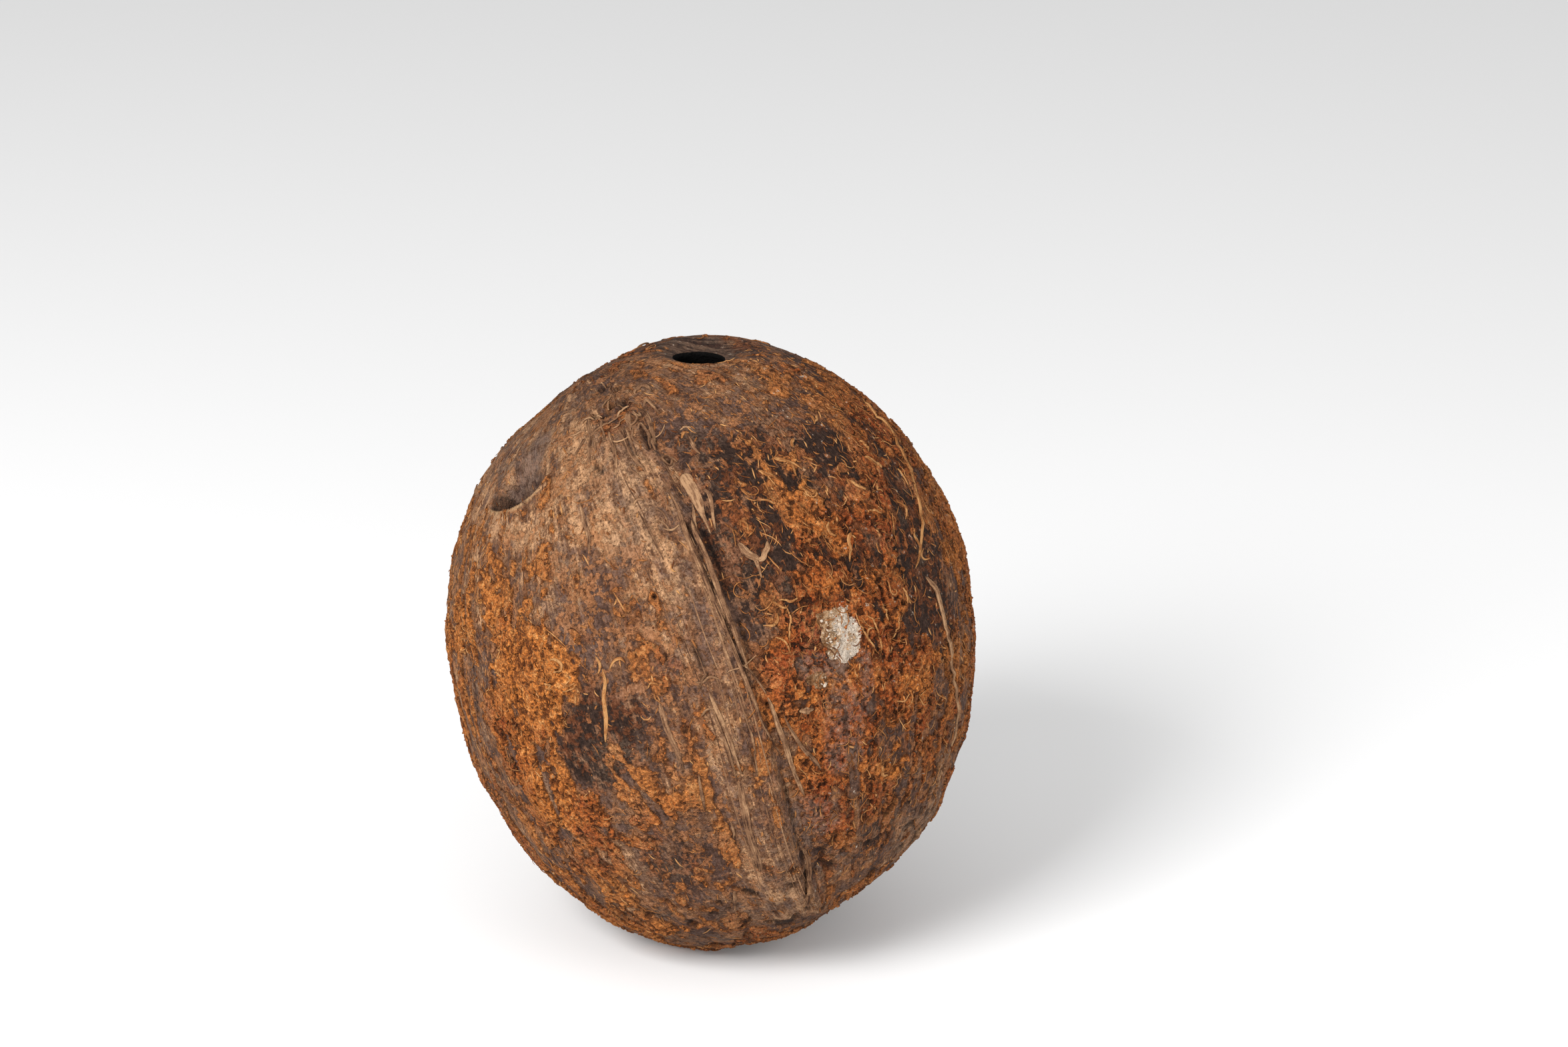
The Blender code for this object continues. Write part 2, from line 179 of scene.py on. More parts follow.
def scoop_parts(ways):
    """Metres up from the scooped eye's lip, and how much of the hollow there is between its sides."""
    angle, azimuth = places_of(ways)
    below = LIP_ANGLE - LIP_BEND * (azimuth - LIP_MIDDLE) ** 2 - angle
    left = smooth(azimuth - SCOOP_LEFT - SCOOP_SLANT * below, 0.0, SCOOP_SIDE)
    return GIRTH_RADIUS * np.radians(below), left * (1.0 - smooth(azimuth, *SCOOP_FADE))


def scoop(ways):
    """0 outside the scooped eye, and up to 1 at the foot of its steep curved lip."""
    inside, sides = scoop_parts(ways)
    return sides * smooth(inside, 0.0, SCOOP_WALL) * (1.0 - smooth(inside, *SCOOP_FLOOR))


def shell_radius(ways):
    """How far the plain shell's surface is from the nut's centre, along unit vectors."""
    angle, azimuth = places_of(ways)
    radius = egg_radius(ways) + ridge_relief(angle, azimuth)
    radius += UNEVEN_HEIGHT * unevenness(ways)
    for place, reach, depth in DENTS:
        off = np.degrees(np.arccos(np.clip(ways @ ways_to(*place), -1.0, 1.0)))
        radius -= depth * np.exp(-((off / reach) ** 2))
    radius -= DISH_DEPTH * dish(ways, DISH_CENTRE, DISH_FLOOR, DISH_RIM)
    radius -= SHUT_DEPTH * dish(ways, SHUT_EYE, SHUT_FLOOR, SHUT_RIM)
    radius += PLUG_HEIGHT * dish(ways, SHUT_EYE, PLUG_TOP, PLUG_FOOT)
    return radius - SCOOP_DEPTH * scoop(ways)


# What covers the shell, zone by zone: angle and azimuth, then how much pith clings there, how rusty
# that pith is, how much felt covers the dark shell under it, and how dusty it all is, from 0 to 1
ZONES = (
    # upper left, the felted shoulder and the scooped eye
    (10, -50, 0.00, 0.3, 0.80, 0.30), (25, -72, 0.00, 0.3, 0.70, 0.35), (24, -30, 0.05, 0.3, 0.85, 0.2),
    (35, -20, 0.05, 0.2, 0.95, 0.20), (40, -62, 0.20, 0.1, 0.85, 0.10), (44, -76, 0.30, 0.2, 0.70, 0.2),
    (42, -40, 0.20, 0.1, 0.90, 0.10), (15, -25, 0.05, 0.4, 0.75, 0.25),
    # left, the bright orange pith
    (50, -56, 0.62, 0.0, 0.75, 0.00), (54, -42, 0.50, 0.0, 0.75, 0.05), (60, -72, 0.66, 0.05, 0.6, 0.05),
    (50, -25, 0.18, 0.3, 0.80, 0.25), (66, -52, 0.76, 0.0, 0.50, 0.00), (72, -41, 0.78, 0.1, 0.50, 0.0),
    (74, -67, 0.55, 0.2, 0.50, 0.25), (66, -24, 0.25, 0.3, 0.42, 0.20), (79, -45, 0.74, 0.5, 0.40, 0.0),
    (78, -20, 0.30, 0.3, 0.38, 0.20), (88, -27, 0.00, 0.4, 0.02, 0.25), (93, -33, 0.00, 0.4, 0.00, 0.3),
    (88, -54, 0.74, 0.3, 0.45, 0.00), (90, -70, 0.40, 0.4, 0.50, 0.30), (101, -46, 0.75, 0.4, 0.4, 0.0),
    (104, -67, 0.40, 0.4, 0.50, 0.30), (105, -26, 0.55, 0.3, 0.50, 0.10), (98, -16, 0.28, 0.4, 0.5, 0.3),
    (113, -34, 0.60, 0.4, 0.45, 0.10), (115, -52, 0.60, 0.4, 0.50, 0.15), (122, -32, 0.1, 0.5, 0.2, 0.4),
    (125, -50, 0.45, 0.3, 0.60, 0.20), (121, -14, 0.26, 0.4, 0.34, 0.15), (132, -34, 0.3, 0.5, 0.4, 0.3),
    (138, -58, 0.55, 0.4, 0.50, 0.10), (140, -24, 0.35, 0.4, 0.50, 0.30), (150, -40, 0.5, 0.5, 0.4, 0.2),
    (160, -20, 0.45, 0.6, 0.40, 0.20), (70, -82, 0.50, 0.3, 0.60, 0.15), (110, -82, 0.5, 0.4, 0.55, 0.2),
    # the stem end and the front ridge
    (14, 4, 0.15, 0.8, 0.45, 0.05), (28, 1, 0.15, 0.8, 0.45, 0.05), (42, -4, 0.02, 0.2, 0.95, 0.45),
    (52, -4, 0.02, 0.2, 0.90, 0.50), (65, -3, 0.05, 0.3, 0.80, 0.40), (78, 0, 0.10, 0.3, 0.75, 0.35),
    (92, -2, 0.10, 0.35, 0.60, 0.20), (106, 0, 0.12, 0.35, 0.55, 0.1), (120, -1, 0.15, 0.35, 0.55, 0.10),
    (134, -4, 0.10, 0.3, 0.65, 0.35), (146, -8, 0.05, 0.3, 0.80, 0.80), (157, -3, 0.2, 0.4, 0.6, 0.4),
    # upper right, crumb and dashes over dark shell, and the open eye's dish
    (50, 10, 0.05, 0.3, 0.30, 0.20), (62, 10, 0.02, 0.4, 0.02, 0.10), (75, 9, 0.05, 0.5, 0.04, 0.05),
    (45, 16, 0.10, 0.4, 0.15, 0.20), (52, 20, 0.03, 0.4, 0.03, 0.08), (58, 16, 0.02, 0.4, 0.02, 0.05),
    (65, 16, 0.08, 0.5, 0.02, 0.05),
    (40, 30, 0.42, 0.3, 0.65, 0.20), (33, 36, 0.38, 0.2, 0.85, 0.20), (26, 25, 0.20, 0.4, 0.65, 0.25),
    (18, 30, 0.10, 0.4, 0.65, 0.30), (38, 50, 0.40, 0.2, 0.85, 0.20), (30, 66, 0.02, 0.5, 0.15, 0.25),
    (17, 62, 0.02, 0.5, 0.10, 0.30), (25, 76, 0.05, 0.5, 0.20, 0.25), (48, 36, 0.30, 0.3, 0.20, 0.15),
    (50, 52, 0.36, 0.3, 0.35, 0.15), (57, 28, 0.50, 0.4, 0.12, 0.05), (62, 43, 0.15, 0.5, 0.05, 0.15),
    (50, 69, 0.45, 0.5, 0.25, 0.10),
    # right, the thick rusty pith
    (60, 62, 0.58, 0.6, 0.20, 0.10), (66, 30, 0.70, 0.6, 0.10, 0.00), (70, 50, 0.68, 0.6, 0.10, 0.00),
    (76, 25, 0.70, 0.7, 0.10, 0.00), (80, 40, 0.68, 0.7, 0.10, 0.00), (81, 56, 0.25, 0.6, 0.08, 0.20),
    (72, 72, 0.50, 0.5, 0.30, 0.10), (88, 13, 0.65, 0.7, 0.25, 0.05), (92, 38, 0.65, 0.6, 0.20, 0.05),
    (98, 55, 0.30, 0.6, 0.15, 0.25), (100, 11, 0.75, 0.6, 0.30, 0.00), (105, 32, 0.7, 0.7, 0.30, 0.10),
    (108, 48, 0.70, 0.6, 0.30, 0.10), (96, 72, 0.55, 0.5, 0.40, 0.15), (115, 18, 0.75, 0.6, 0.3, 0.05),
    (120, 38, 0.65, 0.6, 0.35, 0.15), (118, 58, 0.50, 0.5, 0.45, 0.20), (128, 13, 0.6, 0.5, 0.4, 0.35),
    (132, 30, 0.60, 0.6, 0.40, 0.15), (135, 50, 0.50, 0.6, 0.45, 0.20), (128, 72, 0.5, 0.5, 0.5, 0.20),
    (143, 37, 0.15, 0.6, 0.15, 0.45), (148, 20, 0.45, 0.6, 0.40, 0.20), (149, 52, 0.2, 0.5, 0.5, 0.60),
    (158, 30, 0.45, 0.6, 0.40, 0.20), (170, 60, 0.40, 0.5, 0.40, 0.20),
    # right-hand side, up to and over the second ridge
    (30, 95, 0.10, 0.4, 0.50, 0.30), (58, 92, 0.50, 0.4, 0.35, 0.15), (88, 94, 0.60, 0.4, 0.35, 0.10),
    (120, 92, 0.50, 0.5, 0.45, 0.20), (46, 108, 0.10, 0.2, 0.90, 0.30), (72, 108, 0.35, 0.3, 0.60, 0.2),
    (98, 106, 0.50, 0.4, 0.50, 0.10), (128, 108, 0.4, 0.5, 0.45, 0.25), (45, 120, 0.05, 0.2, 0.90, 0.4),
    (65, 119, 0.05, 0.3, 0.80, 0.40), (88, 119, 0.10, 0.3, 0.75, 0.35), (112, 119, 0.1, 0.3, 0.75, 0.3),
    (138, 116, 0.10, 0.3, 0.80, 0.50), (62, 130, 0.05, 0.4, 0.10, 0.15), (84, 129, 0.1, 0.5, 0.12, 0.1),
    # the back, round the shut eye
    (40, 138, 0.15, 0.4, 0.50, 0.25), (56, 146, 0.35, 0.3, 0.25, 0.15), (74, 148, 0.8, 0.25, 0.3, 0.05),
    (70, 164, 0.45, 0.4, 0.20, 0.10), (90, 142, 0.70, 0.5, 0.30, 0.05), (92, 160, 0.70, 0.3, 0.4, 0.05),
    (110, 140, 0.6, 0.6, 0.35, 0.10), (112, 158, 0.15, 0.5, 0.1, 0.35), (130, 145, 0.5, 0.5, 0.4, 0.2),
    (16, 165, 0.05, 0.5, 0.30, 0.30), (30, 178, 0.02, 0.5, 0.30, 0.25), (46, 172, 0.3, 0.3, 0.6, 0.15),
    (52, -172, 0.45, 0.1, 0.7, 0.10), (68, -176, 0.80, 0.1, 0.45, 0.0), (84, 178, 0.70, 0.4, 0.4, 0.05),
    (104, 176, 0.55, 0.4, 0.5, 0.15), (126, 174, 0.40, 0.5, 0.50, 0.25), (150, 165, 0.5, 0.5, 0.4, 0.2),
    (60, -158, 0.70, 0.05, 0.6, 0.0), (78, -160, 0.90, 0.1, 0.50, 0.0), (96, -158, 0.8, 0.35, 0.4, 0.0),
    (116, -162, 0.6, 0.4, 0.5, 0.15), (140, -165, 0.4, 0.4, 0.5, 0.30), (42, -150, 0.15, 0.2, 0.9, 0.2),
    (56, -142, 0.25, 0.3, 0.7, 0.25), (76, -141, 0.10, 0.4, 0.12, 0.4), (94, -142, 0.5, 0.3, 0.5, 0.15),
    (114, -142, 0.45, 0.4, 0.5, 0.2), (134, -146, 0.15, 0.5, 0.2, 0.4),
    # the third ridge and the left-hand side
    (44, -122, 0.05, 0.2, 0.90, 0.40), (64, -121, 0.05, 0.3, 0.8, 0.40), (88, -121, 0.1, 0.3, 0.75, 0.3),
    (112, -121, 0.1, 0.3, 0.75, 0.3), (138, -125, 0.1, 0.3, 0.80, 0.55), (60, -110, 0.05, 0.4, 0.1, 0.2),
    (82, -111, 0.05, 0.5, 0.12, 0.1), (50, -100, 0.35, 0.3, 0.4, 0.15), (70, -98, 0.70, 0.3, 0.3, 0.05),
    (92, -98, 0.65, 0.5, 0.3, 0.10), (112, -104, 0.6, 0.6, 0.35, 0.1), (130, -98, 0.5, 0.5, 0.45, 0.2),
    (150, -110, 0.4, 0.5, 0.4, 0.3), (22, -120, 0.1, 0.4, 0.60, 0.30), (12, 110, 0.1, 0.5, 0.5, 0.25),
    (165, -130, 0.4, 0.5, 0.4, 0.25), (160, 120, 0.45, 0.5, 0.4, 0.25),
)
# How many degrees a zone reaches, and how many unit vectors are looked up at a time
ZONE_REACH, WAYS_AT_ONCE = 6.5, 20000

# Small pores and worm pits, painted black as the shade in them: place, radius, depth
PORES = (
    ((17.0, 5.0), 0.0011, 0.0018), ((17.4, 8.4), 0.0011, 0.0018), ((26.1, 2.6), 0.0012, 0.0018),
    ((27.4, 6.6), 0.0013, 0.0019), ((28.8, 5.8), 0.0011, 0.0018), ((27.4, -1.7), 0.0009, 0.0014),
    ((32.2, 7.6), 0.0004, 0.0008), ((43.7, 7.7), 0.0005, 0.0010), ((67, -8.8), 0.0006, 0.0012),
    ((72, 37.5), 0.0005, 0.0010), ((97, 6.5), 0.0005, 0.0010), ((30, -2.5), 0.0006, 0.0010),
    ((22, 9.0), 0.0009, 0.0014), ((26, -6.0), 0.0008, 0.0011), ((93, 44.0), 0.0006, 0.0010),
)

# Meridional cracks: the route, and how wide and deep
CRACKS = (
    (((64, -49), (76, -50.5), (92, -49.5), (110, -50.5)), 0.0006, 0.0006),
    (((84, -57), (98, -58), (112, -57)), 0.0005, 0.0004),
    (((58, -68), (76, -70), (96, -71)), 0.0006, 0.0004),
    (((70, -38.5), (84, -39.5), (98, -38)), 0.0005, 0.0004),
    (((96, -21), (108, -23), (122, -22)), 0.0005, 0.0004),
    (((76, 38), (90, 39), (104, 38.5)), 0.0006, 0.0005),
    (((86, 47), (100, 49), (112, 48)), 0.0005, 0.0004),
    (((110, -46), (124, -47), (136, -44)), 0.0005, 0.0004),
    (((54.5, 10.0), (56, 9.9), (57.5, 9.6)), 0.0007, 0.0008),
    (((80.0, -4.2), (83, -4.0), (86, -3.7)), 0.0007, 0.0006),
    (((36.2, 6.4), (37.8, 6.0), (40.4, 5.0)), 0.0006, 0.0012),
    (((33.4, 6.0), (34.6, 8.2), (37.8, 7.6)), 0.0004, 0.0007),
    (((34.6, 1.2), (37.4, 0.8), (40.4, 0.4)), 0.0005, 0.0008),
    (((37.8, -12.4), (38.6, -10.8), (40.0, -9.9)), 0.0004, 0.0006),
)

# Bare grey-brown strips between the pith's clumps: the route, and how wide, left and right of the ridge
LEFT_GAPS = (
    (((44, -39.5), (50.4, -42.9), (55.1, -44.6), (63.3, -47.6)), 0.0013),
    (((52, -68.5), (58, -67.4), (69.6, -68.1), (81.8, -69.9), (91.2, -70.6), (101, -69.2)), 0.0015),
    (((56, -37.0), (60.3, -32.6), (66, -31.5), (70.5, -28.0), (77.1, -25.0)), 0.0030),
    (((53.4, -21.1), (60.3, -21.8), (67.7, -23.6), (77.1, -25.0)), 0.0013),
    (((88, -48.4), (94.2, -49.2), (102.7, -50.6), (111.5, -52.8)), 0.0013),
    (((98, -33.6), (103.8, -34.8), (110.7, -35.5)), 0.0014),
    (((97, -29.0), (100.5, -28.0), (110.2, -23.7), (119.2, -20.6)), 0.0016),
    (((70, -57.5), (80, -58.6), (92, -58.0)), 0.0010),
    (((116, -60.0), (126, -60.5), (136, -58.0)), 0.0012),
)
RIGHT_GAPS = (
    (((70, 60.5), (80.5, 57.1), (86.2, 55.6), (96, 56.0)), 0.0018),
    (((100, 24.0), (112, 23.0), (126, 24.0)), 0.0011),
    (((96, 44.0), (110, 45.0), (124, 44.0)), 0.0013),
    (((84, 68.0), (98, 69.0), (114, 68.0)), 0.0014),
    (((62, 22.0), (68, 22.6), (74, 21.0)), 0.0014),
)

# The creases of each ridge, painted dark as the shade in them: the route from the ridge's own azimuth, and
# how wide and deep
RIDGE_CREASES = (
    (((58, 3.95), (66, 3.75), (72, 3.5), (80, 3.45), (89, 3.9), (96, 4.8)), 0.0005, 0.0010),
    (((112, 5.9), (122, 5.8), (132, 5.9), (140, 5.9), (146, 4.0)), 0.0005, 0.0009),
    (((60, 7.0), (68, 6.6), (78, 6.2), (88, 6.0), (96, 7.2)), 0.0006, 0.0006),
)

# Flat strands on and beside each ridge: the route from the ridge's own azimuth, the widths along it in
# millimetres, the thickness and how pale
RIDGE_STRANDS = (
    (((47, 3.6), (55, 3.6), (60, 2.9), (70, 2.7), (80, 2.8), (90, 3.3), (96, 3.9), (100, 4.3), (105, 5.4),
      (110, 6.8)), (0.5, 0.8, 1.0, 1.0, 0.9, 0.8, 0.7, 0.6, 0.6, 0.3), 0.50, 0.50),
    (((57, 5.5), (60, 4.8), (64, 4.8), (70, 4.4), (76, 4.2), (84, 4.4), (89, 4.8)),
     (0.3, 0.9, 1.2, 1.3, 1.1, 0.8, 0.3), 0.75, 0.60),
    (((95.5, 6.8), (98, 7.2), (102, 7.4), (106, 7.9), (110, 8.2), (114, 8.6), (118, 9.4), (120.5, 10.0)),
     (0.7, 0.9, 1.0, 1.1, 1.1, 0.9, 0.8, 0.3), 0.80, 0.80),
    (((100.5, 9.2), (104, 9.8), (108, 11.0), (111, 12.5), (114, 14.0), (116.5, 15.2)),
     (0.4, 0.6, 0.8, 0.9, 0.9, 0.4), 0.60, 0.55),
    (((89, -4.4), (93, -4.0), (98, -3.5), (103, -3.2), (108, -3.0)), (0.6, 0.9, 0.9, 0.8, 0.4), 0.60, 0.85),
    (((90, -4.9), (95, -4.6), (102, -4.2), (109, -4.4)), (0.4, 0.6, 0.6, 0.4), 0.45, 0.60),
    (((109, -3.8), (115, -4.5), (120, -5.0), (125, -5.3), (130, -5.8), (133, -6.2)),
     (1.2, 1.8, 1.9, 1.8, 1.6, 0.8), 0.40, 0.60),
    (((51, -5.0), (55, -4.3), (59, -4.0), (62, -3.9)), (0.3, 0.5, 0.5, 0.3), 0.40, 0.60),
    (((98, 1.2), (102, 1.3), (105, 0.9), (110, 0.2)), (0.3, 0.5, 0.4, 0.2), 0.30, 0.70),
    (((134, 7.0), (138, 7.6), (142, 6.4), (147, 4.0), (152, 2.0)), (0.7, 1.3, 1.2, 1.0, 0.5), 0.60, 0.55),
    (((86, -6.4), (86.6, -5.0), (86.2, -3.4), (87.4, -1.6)), (0.3, 0.5, 0.5, 0.3), 0.50, 0.75),
    (((87.6, -6.0), (86.0, -4.8), (85.4, -3.6)), (0.3, 0.5, 0.3), 0.60, 0.70),
    (((93, -7.6), (92.2, -6.0), (92.6, -4.2)), (0.3, 0.5, 0.3), 0.50, 0.75),
    (((86.8, 0.4), (87.0, 2.0), (87.3, 4.2), (86.6, 7.4)), (0.25, 0.3, 0.3, 0.2), 0.30, 0.90),
    (((86.2, 3.0), (88.5, 4.8), (92, 6.0), (95, 6.8)), (0.3, 0.4, 0.5, 0.3), 0.35, 0.70),
)

# Strands, flakes and hairs of the front, grey and tan like the seam
FRONT_STRANDS = (
    (((65.2, 12.4), (67, 12.9), (68.8, 14.0), (69.9, 15.2)), (0.9, 1.6, 1.7, 1.0), 0.55, 0.75),
    (((70.2, 14.8), (69.8, 16.2), (68.9, 17.4), (67.7, 18.5)), (1.0, 1.3, 1.2, 0.4), 0.60, 0.85),
    (((69.2, 14.4), (71, 14.2), (73.4, 13.9)), (1.2, 0.7, 0.3), 0.45, 0.70),
    (((47.6, 9.0), (49.4, 9.3), (51.6, 9.3), (54.4, 8.9), (57, 8.4), (61, 7.8)),
     (1.9, 2.8, 2.9, 2.0, 1.1, 0.4), 0.45, 0.95),
    (((52.6, 11.3), (54.2, 11.8), (56.4, 11.2), (58.6, 10.2), (61.0, 9.2)),
     (0.6, 0.9, 0.8, 0.6, 0.3), 0.5, 0.6),
    (((87, -15.0), (90, -15.3), (95, -15.2), (100, -15.0), (103, -15.0)),
     (0.6, 1.2, 1.3, 1.0, 0.4), 0.4, 0.55),
    (((105, -12.2), (109, -12.8), (113, -13.5)), (0.4, 0.8, 0.4), 0.50, 0.65),
    (((25.8, -9.0), (27.6, -9.6), (31.0, -9.9), (34.0, -12.0), (36.8, -13.2)),
     (0.5, 0.8, 0.9, 0.8, 0.4), 0.45, 0.5),
    (((31.2, -10.4), (30.6, -8.4), (30.4, -6.0), (30.7, -2.6)), (0.4, 0.7, 0.8, 0.5), 0.40, 0.50),
    (((32.4, -17.6), (31.2, -15), (30.4, -12.4)), (0.4, 0.7, 0.5), 0.40, 0.50),
    (((27.0, -19), (27.6, -15), (28.2, -12.0)), (0.4, 0.6, 0.4), 0.40, 0.50),
    (((32.6, -3.4), (35.0, -3.8), (37.6, -4.2), (39.8, -5.0), (41.4, -5.8)),
     (0.5, 0.8, 0.8, 0.7, 0.4), 0.45, 0.6),
    (((31.8, -9.4), (33.4, -9.4), (35.0, -9.6)), (0.3, 0.5, 0.3), 0.35, 0.60),
    (((33.6, 0.6), (36.4, 0.2), (39.4, -0.4), (42.4, 0.0), (44.8, 0.9)),
     (0.4, 0.8, 0.7, 0.7, 0.4), 0.45, 0.50),
    (((33.8, 1.8), (36.0, 1.7), (38.4, 1.2), (41.0, 0.9)), (0.4, 0.6, 0.6, 0.3), 0.45, 0.42),
    (((43, -19.0), (46, -19.3), (50, -19.2), (53.6, -20.2)), (0.3, 0.9, 1.0, 0.3), 0.30, 0.80),
    (((47.3, -10.2), (48.6, -9.6), (49.8, -9.1)), (0.4, 0.6, 0.3), 0.40, 0.85),
    (((35.6, 3.0), (32.8, 4.2), (31.0, 5.8)), (0.6, 1.3, 0.8), 0.45, 0.55),
    (((30.9, 9.2), (32.4, 10.4), (35.6, 9.4), (39.4, 7.0), (41.6, 6.0)),
     (0.6, 1.0, 1.0, 0.9, 0.4), 0.50, 0.55),
    (((36.0, 5.2), (35.4, 6.6), (36.8, 7.2), (38.8, 6.4), (40.6, 5.4)),
     (0.5, 0.7, 0.7, 0.7, 0.4), 0.50, 0.50),
    (((31.6, 7.4), (32.2, 6.8), (33.0, 7.4), (32.8, 8.4), (31.9, 8.4)), (0.4, 0.6, 0.6, 0.6, 0.4), 0.5, 0.65),
    (((30.9, 11.6), (30.0, 14.0), (32.2, 14.2), (34.4, 14.0)), (0.4, 0.8, 0.7, 0.4), 0.45, 0.60),
    (((42.6, 7.0), (42.8, 8.4), (44.0, 8.7), (44.8, 7.7), (44.0, 6.7), (42.9, 6.6)),
     (0.5, 0.6, 0.7, 0.6, 0.6, 0.5), 0.50, 0.55),
    (((26.9, 12.4), (26.1, 14.2), (25.7, 17.0), (27.0, 18.6), (28.2, 18.2)),
     (0.4, 0.8, 0.9, 0.7, 0.3), 0.5, 0.7),
    (((40.4, 15.0), (41.0, 16.2), (42.6, 16.2), (44.6, 15.6), (46.4, 15.8)),
     (0.4, 0.7, 0.9, 0.9, 0.5), 0.4, 0.5),
    (((39.8, 15.6), (39.9, 17.2), (40.8, 18.4)), (0.2, 0.4, 0.2), 0.35, 0.85),
    (((41.6, -0.8), (40.6, 0.2), (42.0, 0.6), (44.4, 0.8)), (0.3, 0.5, 0.5, 0.3), 0.45, 0.80),
    (((46.4, 7.4), (48.4, 8.0), (50.0, 7.2)), (0.3, 0.5, 0.3), 0.45, 0.75),
    (((56.6, -1.4), (57.6, 0.6), (57.4, 2.4)), (0.3, 0.4, 0.3), 0.45, 0.85),
    (((54.6, -1.6), (56.2, -0.4), (57.6, -0.2)), (0.3, 0.4, 0.3), 0.45, 0.80),
    (((52.4, -0.8), (54.0, 0.4), (56.4, 0.2)), (0.3, 0.4, 0.3), 0.40, 0.75),
    (((49.4, -5.4), (49.0, -4.0), (49.6, -2.6)), (0.4, 0.6, 0.3), 0.55, 0.70),
    (((54.0, 7.4), (56.5, 6.4), (59.0, 5.6)), (0.4, 0.7, 0.4), 0.45, 0.70),
    (((91.5, 55.5), (95, 57.3), (98, 57.8), (104, 58.5), (110, 60.0), (116, 62.0), (127, 67.0), (138, 73.0)),
     (0.8, 1.5, 1.3, 1.1, 1.0, 1.0, 0.9, 0.5), 0.60, 0.90),
    (((101.5, 12.6), (102.0, 14.2), (102.6, 16.0)), (0.6, 1.5, 0.6), 0.50, 0.85),
    (((136, -16.0), (139, -18.4), (142, -21.0)), (0.5, 0.9, 0.4), 0.40, 0.70),
    (((118, -8.8), (120.5, -9.0), (122.5, -9.6)), (0.5, 0.6, 0.3), 0.50, 0.70),
)

